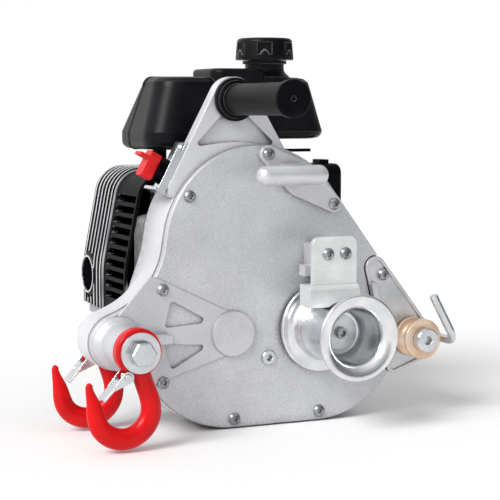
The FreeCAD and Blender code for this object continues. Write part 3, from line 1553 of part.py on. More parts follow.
def draw_path(sketch, corners):
    """Draw an open path of straight runs with arcs at its inner corners."""
    places = [(measure(c[0]), measure(c[1])) for c in corners]
    runs = [[list(a), list(b)] for a, b in zip(places, places[1:])]
    arcs = {}
    for i in range(1, len(corners) - 1):
        arcs[i] = trim_corner(runs[i - 1], runs[i], measure(corners[i][2]))
    lines = [sketch.addGeometry(Part.LineSegment(point(*a), point(*b)), False) for a, b in runs]
    rules = []
    for i, corner in enumerate(corners):
        held = (lines[0], 1) if i == 0 else (lines[-1], 2)
        if i in arcs:
            centre, side = arcs[i]
            first, last = runs[i - 1][1], runs[i][0]
            ends = (1, 2)
            if side < 0:
                first, last = last, first
                ends = (2, 1)
            a = math.atan2(first[1] - centre[1], first[0] - centre[0])
            b = math.atan2(last[1] - centre[1], last[0] - centre[0])
            bend = Part.Circle(point(*centre), point(0, 0, 1), measure(corner[2]))
            arc = sketch.addGeometry(Part.ArcOfCircle(bend, a, b), False)
            rules.append((Sketcher.Constraint("Tangent", lines[i - 1], 2, arc, ends[0]), None))
            rules.append((Sketcher.Constraint("Tangent", arc, ends[1], lines[i], 1), None))
            rules.append((Sketcher.Constraint("Radius", arc, measure(corner[2])), corner[2]))
            mark = sketch.addGeometry(Part.Point(point(*places[i])), True)
            rules.append((Sketcher.Constraint("PointOnObject", mark, 1, lines[i - 1]), None))
            rules.append((Sketcher.Constraint("PointOnObject", mark, 1, lines[i]), None))
            held = (mark, 1)
        rules.append((Sketcher.Constraint("DistanceX", -1, 1, *held, places[i][0]), corner[0]))
        rules.append((Sketcher.Constraint("DistanceY", -1, 1, *held, places[i][1]), corner[1]))
    add_rules(sketch, rules)


# Anchor: bolt, two hooks and their latches; the hook's thickness at each station is a share of its half

FRONT_EYE = "(anchor_boss_front - seat_gap - eye_thick)"
REAR_EYE = "(lug_rear + lug_seat + seat_gap)"


def make_anchor():
    """Hex bolt through boss, lug and both hook eyes, with washers and a nut."""
    washer_front = f"({FRONT_EYE} - seat_gap - washer_thick)"
    washer_rear = f"({REAR_EYE} + eye_thick + seat_gap)"
    nut_front = f"({washer_rear} + washer_thick)"
    bolt = body_at("anchor_bolt", "lug_x", "0", "lug_z")
    grow(bolt, "front", [hexagon("anchor_head_across")], f"{washer_front} - anchor_head", "anchor_head")
    soften(bolt, "edge_round", edge_at_y(f"{washer_front} - anchor_head"), kind="Chamfer")
    length = f"{nut_front} + anchor_nut + anchor_end - {washer_front}"
    grow(bolt, "front", [disc("0", "0", "anchor_radius")], washer_front, length)
    hole = "anchor_radius + thread_gap"
    washers = []
    for name, start in (("front_washer", washer_front), ("rear_washer", washer_rear)):
        washers.append(ring(name, "lug_x", "lug_z", hole, "washer_radius", start, "washer_thick", node=False))
    group("anchor_washers", washers)
    nut = body_at("anchor_nut", "lug_x", nut_front, "lug_z")
    grow(nut, "front", [hexagon("anchor_head_across"), disc("0", "0", hole)], "0", "anchor_nut")


NECK_SHARES = (0.86, 0.88)
BOWL_SHARES = (0.92, 0.97, 1.0, 1.0, 1.0, 0.98, 0.92, 0.82)
TIP_SHARES = (0.56, 0.34)


def hook_stations():
    """Centre line of the hook with its half thickness: neck, round bowl and tip."""
    bowl = point(measure("bowl_x"), 0, measure("bowl_z"))
    radius, half = measure("bowl_radius"), measure("hook_half")
    neck = point(measure("hook_neck_x"), 0, measure("hook_neck_z"))
    tip = point(measure("hook_tip_x"), 0, measure("hook_tip_z"))
    start = math.radians(measure("hook_start_angle"))
    end = math.radians(measure("hook_end_angle"))
    stations = [(neck, NECK_SHARES[0] * half)]
    count = len(BOWL_SHARES)
    first = bowl + point(radius * math.cos(start), 0, radius * math.sin(start))
    stations.append(((neck + first) / 2, NECK_SHARES[1] * half))
    for k, share in enumerate(BOWL_SHARES):
        angle = start + (end - start) * k / (count - 1)
        place = bowl + point(radius * math.cos(angle), 0, radius * math.sin(angle))
        stations.append((place, share * half))
    last = stations[-1][0]
    stations.append(((last + tip) / 2, TIP_SHARES[0] * half))
    stations.append((tip, TIP_SHARES[1] * half))
    return stations


def hook_shape():
    """Forged hook about its eye: oval sections, a flat eye and a small lug for the latch."""
    stations = hook_stations()
    flat = measure("hook_flat_share")
    sections = []
    for k, (place, half) in enumerate(stations):
        before = stations[max(k - 1, 0)][0]
        after = stations[min(k + 1, len(stations) - 1)][0]
        along = (after - before).normalize()
        across = along.cross(point(0, 1, 0))
        oval = Part.Ellipse(place + across * half, place + point(0, half * flat, 0), place)
        sections.append(Part.Wire([oval.toShape()]))
    shank = Part.makeLoft(sections, True)
    tip, tip_half = stations[-1]
    tip_ball = Part.makeSphere(tip_half * flat, tip)
    thick = measure("eye_thick")
    eye = Part.makeCylinder(measure("eye_radius"), thick, point(0, -thick / 2, 0), point(0, 1, 0))
    rounded = [edge for edge in eye.Edges if isinstance(edge.Curve, Part.Circle)]
    eye = eye.makeFillet(measure("eye_round"), rounded)
    lug_place = point(measure("latch_x"), -thick / 2, measure("latch_z"))
    lug = Part.makeCylinder(measure("latch_lug_radius"), thick, lug_place, point(0, 1, 0))
    hook = shank.fuse([eye, lug, tip_ball])
    slot = measure("spring_slot")
    slot_radius = measure("latch_lug_radius") + measure("overrun")
    slot_place = point(measure("latch_x"), -slot / 2, measure("latch_z"))
    spring_room = Part.makeCylinder(slot_radius, slot, slot_place, point(0, 1, 0))
    hole = measure("anchor_radius") + measure("running_gap")
    bore = Part.makeCylinder(hole, thick * 2, point(0, -thick, 0), point(0, 1, 0))
    pin_hole = Part.makeCylinder(measure("latch_pin_radius") + measure("hex_gap"), thick * 2,
                                 lug_place - point(0, thick / 2, 0), point(0, 1, 0))
    return hook.cut([bore, spring_room, pin_hole]).removeSplitter()


def spring_shape():
    """Latch spring: one unbroken close coil round the latch pin."""
    wire = measure("spring_wire_radius")
    coil = measure("latch_pin_radius") + measure("spring_gap") + wire
    pitch = measure("spring_pitch")
    turns = int(measure("spring_turns"))
    rise = pitch / 4
    spine = []
    start = -pitch * turns / 2
    for quarter in range(turns * 4):
        angle = math.pi / 2 * quarter
        ends = []
        for step in (0, 0.5, 1):
            turn = angle + math.pi / 2 * step
            ends.append(point(coil * math.cos(turn), start + rise * (quarter + step), coil * math.sin(turn)))
        spine.append(Part.Arc(*ends).toShape())
    path = Part.Wire(spine)
    along = spine[0].tangentAt(spine[0].FirstParameter)
    circle = Part.Circle(spine[0].valueAt(spine[0].FirstParameter), along, wire)
    print("spring gap between turns", round(pitch - 2 * wire, 3))
    return path.makePipeShell([Part.Wire([circle.toShape()])], True, False)


def make_latch(label, x, y, z):
    """Pressed latch: two ears on the pin, joined by a web that closes the throat."""
    latch = body_at(label, x, y, z, turn="-latch_tilt")
    inner = "eye_thick / 2 + latch_side_gap"
    ear = [
        ("0", "0", "latch_ear_radius", "in"),
        ("latch_flange_end", "-latch_web_lift - latch_plate / 2", "latch_plate", "in"),
    ]
    outer = f"{inner} + latch_plate"
    grow(latch, "front", [ear], inner, "latch_plate")
    web = rect("latch_web_start", "-latch_web_lift - latch_plate", "latch_length", "-latch_web_lift")
    grow(latch, "front", [web], f"-({outer})", f"2 * ({outer})")
    grow(latch, "front", [ear], f"-({outer})", "latch_plate")
    hole = [disc("0", "0", "latch_pin_radius + running_gap")]
    cut(latch, "front", hole, f"-({outer})", f"2 * ({outer})")


def make_hooks():
    """Front and rear hook with latch, rivet pin and spring."""
    for side, eye in (("front", FRONT_EYE), ("rear", REAR_EYE)):
        middle = f"({eye} + eye_thick / 2)"
        free_form(f"{side}_hook", hook_shape(), "lug_x", middle, "lug_z")
        x, z = "lug_x + latch_x", "lug_z + latch_z"
        make_latch(f"{side}_latch", x, middle, z)
        pin = body_at(f"{side}_latch_pin", x, middle, z)
        half = "(eye_thick / 2 + 2 * latch_side_gap + latch_plate)"
        rivet = [
            ("0", f"-{half} - latch_pin_head"),
            ("latch_pin_head_radius", f"-{half} - latch_pin_head", "latch_pin_head / 2"),
            ("latch_pin_head_radius", f"-{half}"),
            ("latch_pin_radius", f"-{half}"),
            ("latch_pin_radius", half),
            ("latch_pin_head_radius", half),
            ("latch_pin_head_radius", f"{half} + latch_pin_head", "latch_pin_head / 2"),
            ("0", f"{half} + latch_pin_head"),
        ]
        spin(pin, "Y", rivet)
        free_form(f"{side}_latch_spring", spring_shape(), x, middle, z)


# Throttle control

LEG_RUN_X = "(handle_x - apex_left_x)"
LEG_RUN_Z = "(handle_z - apex_left_z)"
LEG_SPAN = f"sqrt({LEG_RUN_X}^2 + {LEG_RUN_Z}^2)"
LEG_LEAN = f"(atan2({LEG_RUN_X}; {LEG_RUN_Z}) - asin((apex_radius - apex_foot_radius) / {LEG_SPAN}))"


def leg_frame(label, node=True):
    """A body on the left leg: its Z runs up the leg's outer face and its -X points outwards."""
    x = f"apex_left_x - apex_foot_radius * cos({LEG_LEAN})"
    z = f"apex_left_z + apex_foot_radius * sin({LEG_LEAN})"
    return body_at(label, x, "bracket_front", z, turn=LEG_LEAN, node=node)


def make_throttle():
    """Bent steel bracket on the left leg, with a black base and a block lever that has a thumb tongue."""
    bracket = leg_frame("throttle_bracket")
    profile = [
        ("0", "bracket_foot"),
        ("0", "bracket_foot + bracket_length"),
        ("-bracket_thick", "bracket_foot + bracket_length"),
        ("-bracket_thick", "bracket_foot + bracket_thick", "bracket_round"),
        ("-bracket_lip", "bracket_foot + bracket_thick"),
        ("-bracket_lip", "bracket_foot"),
    ]
    grow(bracket, "front", [profile], "0", "bracket_width")
    side = rect("-bracket_flange", "bracket_foot", "0", "bracket_foot + bracket_length - bracket_flange")
    grow(bracket, "front", [side], "0", "bracket_thick / 2")
    hole = [disc("bracket_screw_in", "bracket_screw_along", SCREW_HOLE)]
    cut(bracket, "side", hole, "-bracket_thick", "bracket_thick")
    base = leg_frame("throttle_base")
    top = "bracket_foot + control_base_along"
    middle = "bracket_width / 2"
    outline = [
        (middle, top, "control_base_radius", "in"),
        (middle, f"{top} + control_base_tail", "control_tail_radius", "in"),
    ]
    face = "(-bracket_thick - control_base_height)"
    grow(base, "side", [outline], face, "control_base_height")
    pivot = [disc(middle, top, "lever_pivot_radius")]
    grow(base, "side", pivot, f"{face} - lever_pivot_length", "lever_pivot_length")
    lever = leg_frame("throttle_lever")
    left, right = f"{middle} - lever_width / 2", f"{middle} + lever_width / 2"
    block = rect(left, f"{top} - lever_length / 2", right, f"{top} + lever_length / 2", "lever_corner")
    outside = f"({face} - seat_gap - lever_height)"
    grow(lever, "side", [block], outside, "lever_height")
    tongue_low = f"{top} + lever_tongue_up"
    tongue = rect(left, tongue_low, right, f"{tongue_low} + lever_tongue_thick")
    grow(lever, "side", [tongue], f"{outside} - lever_tongue_reach", "lever_tongue_reach")
    hole = [disc(middle, top, "lever_pivot_radius + running_gap")]
    cut(lever, "side", hole, f"{face} - seat_gap - lever_pivot_length", "lever_pivot_length")


def bracket_screw():
    """Button screw that holds the throttle bracket to the leg."""
    screw = leg_frame("bracket_screw", node=False)
    dome = [
        ("-bracket_thick - button_height", "0"),
        ("-bracket_thick - button_height", "button_radius * button_dome_share"),
        ("-bracket_thick - button_height * button_side_share", "button_radius"),
        ("-bracket_thick", "button_radius"),
        ("-bracket_thick", "screw_radius"),
        ("0", "screw_radius"),
        ("0", "0"),
    ]
    spin(screw, "X", dome, y="bracket_screw_in", z="bracket_screw_along")
    return screw


# Engine


def make_engine_block():
    """Crankcase with the flange that bolts to the case, and a base ledge."""
    block = body_at("engine_block", y="engine_face")
    grow(block, "front", [disc("crank_x", CRANK_Z, "engine_flange_radius")], "0", "engine_flange_thick")
    outline = rect("block_x_min", "block_z_min", "block_x_max", "block_z_max", "block_corner")
    grow(block, "front", [outline], "engine_flange_thick", "block_rear - engine_flange_thick")
    ledge = rect("base_x_min", "base_front", "base_x_max", "base_rear", "base_corner")
    grow(block, "top", [ledge], "block_z_min", "base_thick")
    front = "web_front - crank_chamber_gap"
    length = "2 * web_thick + pin_length + 2 * crank_chamber_gap"
    cut(block, "front", [disc("crank_x", CRANK_Z, "crank_chamber_radius")], front, length)
    bore = [disc("crank_x", CRANK_Z, "crank_radius + running_gap")]
    cut(block, "front", bore, "0", "block_rear")
    recess = [disc("crank_x", CRANK_Z, "clutch_bore_radius")]
    cut(block, "front", recess, "0", "engine_flange_thick")


def make_cylinder():
    """Finned cylinder on the crankcase, with the plug in its right side."""
    cylinder = body_at("cylinder", "crank_x", "engine_face + cylinder_y", "block_z_max")
    grow(cylinder, "top", [disc("0", "0", "cylinder_radius")], "0", "cylinder_height")
    fin = rect("-fin_width / 2", "-fin_depth / 2", "fin_width / 2", "fin_depth / 2", "fin_corner")
    for number in range(int(measure("fin_count"))):
        level = f"fin_pitch * {number} + fin_pitch / 2"
        grow(cylinder, "top", [fin], level, "fin_thick")
    plug = body_at("spark_plug", "crank_x + fin_width / 2", "engine_face + cylinder_y + plug_offset",
                   "block_z_max + cylinder_height / 2")
    grow(plug, "side", [disc("0", "0", "plug_body_radius")], "0", "plug_body_length")
    grow(plug, "side", [hexagon("plug_hex_across")], "plug_body_length", "plug_hex_length")
    cap = [disc("0", "0", "plug_cap_radius")]
    grow(plug, "side", cap, "plug_body_length + plug_hex_length", "plug_cap_length")


def make_muffler():
    """Pressed silencer box with a rolled seam and a pipe to the crankcase."""
    box = body_at("muffler", y="engine_face")
    outline = rect("muffler_left_x", "muffler_low_z", "muffler_right_x", "muffler_high_z", "muffler_corner")
    grow(box, "front", [outline], "muffler_front", "muffler_depth")
    seam = rect("muffler_left_x - muffler_seam", "muffler_low_z - muffler_seam",
                "muffler_right_x + muffler_seam", "muffler_high_z + muffler_seam", "muffler_corner")
    grow(box, "front", [seam], "muffler_front + muffler_depth / 2", "muffler_seam")
    pipe = [disc("muffler_front + muffler_depth / 2", "muffler_pipe_z", "muffler_pipe_radius")]
    grow(box, "side", pipe, "muffler_right_x", "block_x_min - muffler_right_x")


def hood_outline(inset="0", low="hood_low_z", taper="0"):
    """Engine hood seen from the front: upright sides that lean in above, and a round top."""
    high = f"hood_high_z - ({inset})"
    left = f"hood_left_x + ({inset}) + ({taper})"
    right = f"hood_right_x - ({inset}) - ({taper})"
    bend = f"hood_bend - ({inset})"
    corner = f"hood_corner - ({inset})"
    return [
        (left, low),
        (right, low),
        (right, "hood_turn_z", bend),
        (f"{right} - hood_lean", high, corner),
        (f"{left} + hood_lean", high, corner),
        (left, "hood_turn_z", bend),
    ]


def half_hood(inset):
    """Left part of the hood outline, cut off square at the guard's inner edge."""
    high = f"hood_high_z - ({inset})"
    left = f"hood_left_x + ({inset})"
    return [
        (left, f"hood_low_z + ({inset})"),
        ("guard_inner_x", f"hood_low_z + ({inset})"),
        ("guard_inner_x", high),
        (f"{left} + hood_lean", high, f"hood_corner - ({inset})"),
        (left, "hood_turn_z", f"hood_bend - ({inset})"),
    ]


def make_muffler_guard():
    """Louvred plastic guard over the silencer, flush with the fan hood and tucked into its mouth."""
    guard = body_at("muffler_guard", y="engine_face")
    step = "(hood_wall + 2 * seat_gap)"
    seam = "(fan_front_y - seat_gap)"
    shell = f"({seam} - 2 * hood_wall)"
    rear = "(fan_front_y + guard_tuck)"
    grow(guard, "front", [half_hood("0")], "guard_front_y", f"{seam} - guard_front_y")
    grow(guard, "front", [half_hood(step)], seam, f"{rear} - {seam}")
    cut(guard, "front", [half_hood("hood_wall")], "guard_front_y", f"{shell} - guard_front_y")
    cut(guard, "front", [half_hood(f"{step} + hood_wall")], shell, f"{rear} - {shell}")
    slots = []
    for number in range(int(measure("louvre_count"))):
        low = f"louvre_low_z + louvre_pitch * {number}"
        slots.append(rect("guard_front_y + louvre_margin", low, "fan_front_y - louvre_rear_margin",
                          f"{low} + louvre_height"))
    cut(guard, "side", slots, "hood_left_x - overrun", "louvre_cut")


def make_fan_cover():
    """Ribbed hood round the flywheel, open in front and with an air hole behind."""
    fan = body_at("fan_cover", y="engine_face")
    depth = "(fan_rear_y - fan_front_y)"
    mouth = sketch_loops(fan, "front", [hood_outline()], "fan_front_y")
    back = sketch_loops(fan, "front", [hood_outline(taper="hood_taper")], "fan_rear_y")
    loft(fan, mouth, [back])
    for number in range(int(measure("rib_count"))):
        start = f"(rib_first_y + rib_pitch * {number})"
        taper = f"hood_taper * ({start} + rib_width / 2 - fan_front_y) / {depth}"
        grow(fan, "front", [hood_outline("-rib_height", taper=taper)], start, "rib_width")
    pad = [disc("badge_y", "badge_z", "badge_pad_radius")]
    grow(fan, "side", pad, "hood_left_x + badge_pad_sink", "hood_taper + hood_wall")
    proud = "(rib_height + overrun)"
    cut(fan, "side", pad, f"hood_left_x - {proud}", f"{proud} + badge_pad_sink")
    low = "hood_low_z - overrun"
    floor = "(fan_rear_y - hood_wall)"
    inside = sketch_loops(fan, "front", [hood_outline("hood_wall", low)], "fan_front_y")
    taper = f"hood_taper * ({floor} - fan_front_y) / {depth}"
    inner_end = sketch_loops(fan, "front", [hood_outline("hood_wall", low, taper)], floor)
    loft(fan, inside, [inner_end], "Subtractive")
    hole = [disc("crank_x", CRANK_Z, "fan_intake_radius")]
    cut(fan, "front", hole, "fan_rear_y - hood_wall", "hood_wall")
    badge = body_at("hood_badge", "hood_left_x + badge_pad_sink", "engine_face + badge_y", "badge_z")
    face = [
        ("-badge_thick", "badge_radius"),
        ("-badge_thick", "badge_radius - badge_rim"),
        ("badge_sink - badge_thick", "badge_radius - badge_rim"),
        ("badge_sink - badge_thick", "0"),
        ("0", "0"),
        ("0", "badge_radius"),
    ]
    spin(badge, "X", face)


def make_starter():
    """Recoil starter housing behind the fan, and its pull grip."""
    housing = body_at("starter_cover", "crank_x", "engine_face + fan_rear_y", CRANK_Z)
    shell = [
        ("0", "starter_depth - starter_wall"),
        ("starter_radius - starter_wall", "starter_depth - starter_wall"),
        ("starter_radius - starter_wall", "0"),
        ("starter_radius", "0"),
        ("starter_radius", "starter_depth", "starter_round"),
        ("0", "starter_depth"),
    ]
    spin(housing, "Y", shell)
    slots = []
    count = int(measure("starter_slot_count"))
    for number in range(count):
        turn = 360 * number / count
        inner = f"starter_slot_inner * cos({turn})", f"starter_slot_inner * sin({turn})"
        outer = f"starter_slot_outer * cos({turn})", f"starter_slot_outer * sin({turn})"
        slots.append([inner + ("starter_slot_width / 2", "in"), outer + ("starter_slot_width / 2", "in")])
    cut(housing, "front", slots, "starter_depth - starter_wall", "starter_wall")
    guide = [disc("pull_y - fan_rear_y", "pull_z_offset", "pull_guide_radius")]
    wall_x = "sqrt(starter_radius^2 - pull_z_offset^2)"
    guide_span = "pull_guide_length + pull_guide_root"
    grow(housing, "side", guide, f"{wall_x} - pull_guide_root", guide_span)
    eyelet = [disc("pull_y - fan_rear_y", "pull_z_offset", "pull_rope_radius + running_gap")]
    cut(housing, "side", eyelet, f"{wall_x} - pull_guide_root", guide_span)
    grip_x = f"crank_x + {wall_x} + pull_guide_length + seat_gap"
    grip = body_at("starter_grip", grip_x, "engine_face + pull_y", f"{CRANK_Z} + pull_z_offset")
    rope = [disc("0", "0", "pull_rope_radius")]
    grow(grip, "side", rope, "-pull_rope_length", "pull_rope_length")
    bar = [
        ("0", "-pull_grip_half", "pull_grip_radius", "in"),
        ("0", "pull_grip_half", "pull_grip_radius", "in"),
    ]
    grow(grip, "side", [bar], "0", "pull_grip_depth")


def make_tank():
    """Moulded fuel tank: rounded trapezium with a raised saddle and a filler neck."""
    tank = body_at("fuel_tank", y="engine_face")

    def section(level, inset, right="tank_right_x"):
        outline = rect(f"tank_left_x + {inset}", f"tank_front + {inset}", f"{right} - {inset}",
                       f"tank_rear - {inset}", "tank_corner")
        return sketch_loops(tank, "top", [outline], level)

    def belly(low, right="tank_right_x"):
        rounds = []
        for angle in (0, 30, 60, 90):
            inset = f"tank_belly * (1 - sin({angle}))"
            rounds.append(section(f"{low} + tank_belly * (1 - cos({angle}))", inset, right))
        return rounds
    wall = "(tank_height - tank_belly - tank_edge)"
    shell = belly("tank_low_z")
    for angle in (0, 30, 60, 90):
        inset = f"({wall} * tank_lean_share + tank_edge * (1 - cos({angle})))"
        right = f"tank_right_x + {wall} * tank_right_gain_share"
        shell.append(section(f"tank_high_z - tank_edge * (1 - sin({angle}))", inset, right))
    loft(tank, shell[0], shell[1:])
    lobe = belly("lobe_low_z", "lobe_right_x")
    lobe.append(section("tank_low_z + tank_belly", "0", "lobe_right_x"))
    loft(tank, lobe[0], lobe[1:])
    saddle = rect("saddle_left_x", "saddle_front", "saddle_right_x", "saddle_rear", "saddle_corner")
    grow(tank, "top", [saddle], "tank_high_z - saddle_height", "saddle_height * 2")
    soften(tank, "saddle_round", edge_at_z("tank_high_z + saddle_height"))
    neck = [
        ("0", "tank_high_z - saddle_height"),
        ("neck_radius + neck_flare", "tank_high_z - saddle_height"),
        ("neck_radius + neck_flare", "tank_high_z"),
        ("neck_radius", "tank_high_z + neck_flare", "neck_flare"),
        ("neck_radius", "neck_top_z - neck_flare / 2"),
        ("neck_lip_radius", "neck_top_z - neck_flare / 2"),
        ("neck_lip_radius", "neck_top_z"),
        ("0", "neck_top_z"),
    ]
    spin(tank, "Z", neck, x="neck_x", y="neck_y")
    well = [disc("neck_x", "neck_y", "cap_stem_radius + seat_gap")]
    cut(tank, "top", well, "neck_top_z - cap_stem_length - overrun", "cap_stem_length + overrun")
    cap = body_at("fuel_cap", "neck_x", "engine_face + neck_y")
    top = [
        ("0", "cap_high_z"),
        ("cap_radius - cap_taper", "cap_high_z", "cap_round"),
        ("cap_radius", "cap_low_z + cap_skirt", "edge_round"),
        ("cap_radius", "cap_low_z"),
        ("cap_stem_radius", "cap_low_z"),
        ("cap_stem_radius", "neck_top_z - cap_stem_length"),
        ("0", "neck_top_z - cap_stem_length"),
    ]
    spin(cap, "Z", top)
    pads = []
    count = int(measure("cap_pad_count"))
    for number in range(count):
        turn = f"(cap_pad_turn + {360 * number / count})"
        corners = []
        for out, side in (("-cap_pad_sink", "-"), ("overrun", "-"), ("overrun", "+"), ("-cap_pad_sink", "+")):
            reach = f"(cap_radius - cap_taper + {out})"
            x = f"{reach} * cos({turn}) - ({side}cap_pad_width / 2) * sin({turn})"
            y = f"{reach} * sin({turn}) + ({side}cap_pad_width / 2) * cos({turn})"
            corners.append((x, y))
        pads.append(corners)
    cut(cap, "top", pads, "cap_low_z + cap_pad_margin", "cap_height - 2 * cap_pad_margin")
    posts = []
    for end, low in (("front", "block_z_max"), ("rear", "(hood_high_z + rib_height)")):
        for side, high in (("left", "lobe_low_z"), ("right", "tank_low_z")):
            post = body_at(f"tank_post_{end}_{side}", f"post_{side}_x", f"engine_face + {end}_post_y", low,
                           node=False)
            grow(post, "top", [disc("0", "0", "tank_post_radius")], "0", f"{high} - {low}")
            posts.append(post)
    group("tank_mounts", posts)


def make_intake():
    """Carburettor, air cleaner box with its lid and clip, and the choke lever."""
    carb = body_at("carburettor", y="engine_face")
    outline = rect("carb_front", "carb_low_z", "carb_rear", "carb_high_z", "carb_corner")
    grow(carb, "side", [outline], "block_x_max", "air_left_x - block_x_max")
    socket = [disc("choke_x", "choke_y", "choke_radius + running_gap")]
    cut(carb, "top", socket, "carb_high_z - choke_socket", "choke_socket")
    box = body_at("air_cleaner", y="engine_face")
    shell = rect("air_front", "air_low_z", "air_rear", "air_high_z", "air_corner")
    grow(box, "side", [shell], "air_left_x", "air_right_x - air_left_x")
    soften(box, "air_corner / 2", lambda edge: edge.BoundBox.XMin > measure("air_right_x") - 1e-4)
    seam = [shell, rect("air_front + air_seam", "air_low_z + air_seam", "air_rear - air_seam",
                        "air_high_z - air_seam", "air_corner")]
    cut(box, "side", seam, "air_lid_split_x", "air_seam")
    tab = rect("air_tab_x", "air_front + air_corner", "air_tab_x + air_tab_width",
               "air_front + air_corner + air_tab_length")
    grow(box, "top", [tab], "air_high_z", "air_tab_height")
    choke = body_at("choke_lever", "choke_x", "engine_face + choke_y")
    grow(choke, "top", [disc("0", "0", "choke_radius")], "carb_high_z - choke_socket + seat_gap",
         "choke_arm_z - carb_high_z + choke_socket - seat_gap")
    arm = [
        ("0", "0", "choke_arm_width / 2", "in"),
        ("choke_arm_length", "0", "choke_arm_width / 2", "in"),
    ]
    grow(choke, "top", [arm], "choke_arm_z", "choke_arm_thick")


def make_foot():
    """Bent steel foot under the engine ledge."""
    foot = body_at("rear_foot", y="engine_face")
    outer = rect("foot_left_x", "0", "foot_right_x", "block_z_min", "foot_corner")
    inner = rect("foot_left_x + foot_plate", "foot_plate", "foot_right_x - foot_plate",
                 "block_z_min - foot_plate", "foot_corner")
    grow(foot, "front", [outer, inner], "foot_front", "foot_rear - foot_front")


def build():
    """Make every piece, then check and export."""
    make_gear_case()
    make_front_cover()
    make_gasket()
    make_button_screws()
    make_oil_plug()
    make_handle()
    make_drum()
    make_output_shaft()
    make_bearings()
    make_layshaft()
    make_gears()
    make_clutch()
    make_guard()
    make_cleat()
    make_arm()
    make_roller()
    make_keeper()
    make_anchor()
    make_hooks()
    make_throttle()
    make_engine_block()
    make_cylinder()
    make_muffler()
    make_muffler_guard()
    make_fan_cover()
    make_starter()
    make_tank()
    make_intake()
    make_foot()


build()
doc.recompute()

faults = [thing.Label for thing in doc.Objects if {"Invalid", "Error"} & set(thing.State)]
for feature in CUTS:
    before = feature.BaseFeature.Shape.Volume
    if feature.Shape.Volume > before - 1e-3:
        faults.append(f"{feature.Label} cuts nothing")
for node in NODES:
    if node.Shape.isNull() or not node.Shape.isValid():
        faults.append(f"{node.Label} has no valid shape")
if faults:
    raise SystemExit("not built: " + ", ".join(faults))

os.makedirs("parts", exist_ok=True)
for node in NODES:
    node.Shape.exportStep(f"parts/{node.Label}.step")
print(len(NODES), "pieces written")
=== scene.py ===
# %% [markdown]
# # A portable capstan winch, dressed for its portrait
#
# The winch comes in as a set of exact solids: a cast case with gears inside, a rope drum, two
# anchor hooks and a small petrol engine. This lesson gives every surface the finish of the real
# material, adds the small forms that only the eye needs, and lights it like a catalogue picture.

# %% Load the frame
import json
import math

import bmesh
import bpy
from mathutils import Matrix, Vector


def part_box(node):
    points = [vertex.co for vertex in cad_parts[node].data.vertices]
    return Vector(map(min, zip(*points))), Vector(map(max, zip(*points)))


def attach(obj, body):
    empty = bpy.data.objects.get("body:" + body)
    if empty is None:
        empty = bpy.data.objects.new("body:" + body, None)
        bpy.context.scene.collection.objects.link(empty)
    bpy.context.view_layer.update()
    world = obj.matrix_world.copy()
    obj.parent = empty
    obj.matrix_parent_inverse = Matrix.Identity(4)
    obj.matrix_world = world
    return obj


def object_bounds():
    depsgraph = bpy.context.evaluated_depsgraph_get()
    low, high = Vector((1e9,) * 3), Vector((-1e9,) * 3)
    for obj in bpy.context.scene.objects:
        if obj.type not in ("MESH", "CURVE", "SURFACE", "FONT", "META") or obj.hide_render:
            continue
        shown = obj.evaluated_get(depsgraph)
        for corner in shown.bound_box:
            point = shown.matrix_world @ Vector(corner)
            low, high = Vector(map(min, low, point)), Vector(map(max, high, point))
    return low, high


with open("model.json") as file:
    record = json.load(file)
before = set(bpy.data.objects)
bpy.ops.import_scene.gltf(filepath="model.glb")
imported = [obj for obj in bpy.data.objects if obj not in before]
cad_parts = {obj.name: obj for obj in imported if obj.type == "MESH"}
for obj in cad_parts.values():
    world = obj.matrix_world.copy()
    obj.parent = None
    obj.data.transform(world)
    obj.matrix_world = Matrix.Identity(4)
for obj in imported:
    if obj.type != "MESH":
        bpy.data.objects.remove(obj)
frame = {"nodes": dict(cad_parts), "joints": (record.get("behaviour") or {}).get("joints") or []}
cad_low, cad_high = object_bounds()
nodes = frame["nodes"]
scene = bpy.context.scene
print(len(nodes), "solids, box", [round(v, 3) for v in cad_low], [round(v, 3) for v in cad_high])

# %% [markdown]
# ## Colour and node helpers
#
# Colours are picked as sRGB hex values, as on a screen, but shaders work in linear light, so one
# function converts them. A second small function adds a node, sets its values and makes its
# links. With it a material reads from top to bottom, like a recipe.

# %% Colour and node helpers


def tone(code):
    """Linear RGBA from an sRGB hex value."""
    channels = [int(code[i:i + 2], 16) / 255 for i in (1, 3, 5)]
    linear = [c / 12.92 if c <= 0.04045 else ((c + 0.055) / 1.055) ** 2.4 for c in channels]
    return (*linear, 1.0)


def add(tree, kind, settings=None, **links):
    """Adds one node; settings are attributes, socket values or the (place, hex) stops of a colour ramp.

    Links name the sockets to connect: _2 stands for socket number 2, other words are socket names.
    """
    node = tree.nodes.new(kind)
    for key, value in (settings or {}).items():
        if key == "stops":
            marks = node.color_ramp.elements
            marks[0].position, marks[0].color = value[0][0], tone(value[0][1])
            marks[1].position, marks[1].color = value[-1][0], tone(value[-1][1])
            for place, code in value[1:-1]:
                marks.new(place).color = tone(code)
        elif isinstance(key, str) and hasattr(node, key):
            setattr(node, key, value)
        else:
            node.inputs[key].default_value = value
    for key, source in links.items():
        socket = node.inputs[int(key[1:])] if key[0] == "_" else node.inputs[key.replace("_", " ")]
        tree.links.new(source, socket)
    return node


def new_finish(name, edge=0.8):
    """A material with a Principled shader, object coordinates and edges eased by so many millimetres."""
    finish = bpy.data.materials.new(name)
    finish.use_nodes = True
    tree = finish.node_tree
    shader = tree.nodes["Principled BSDF"]
    place = add(tree, "ShaderNodeTexCoord").outputs["Object"]
    eased = add(tree, "ShaderNodeBevel", {"samples": 4, "Radius": edge / 1000}).outputs["Normal"]
    return finish, tree, shader, place, eased


def per_mm(size):
    """Texture scale for a pattern of that size in millimetres."""
    return 1000 / size


print("white is", tone("#ffffff"))

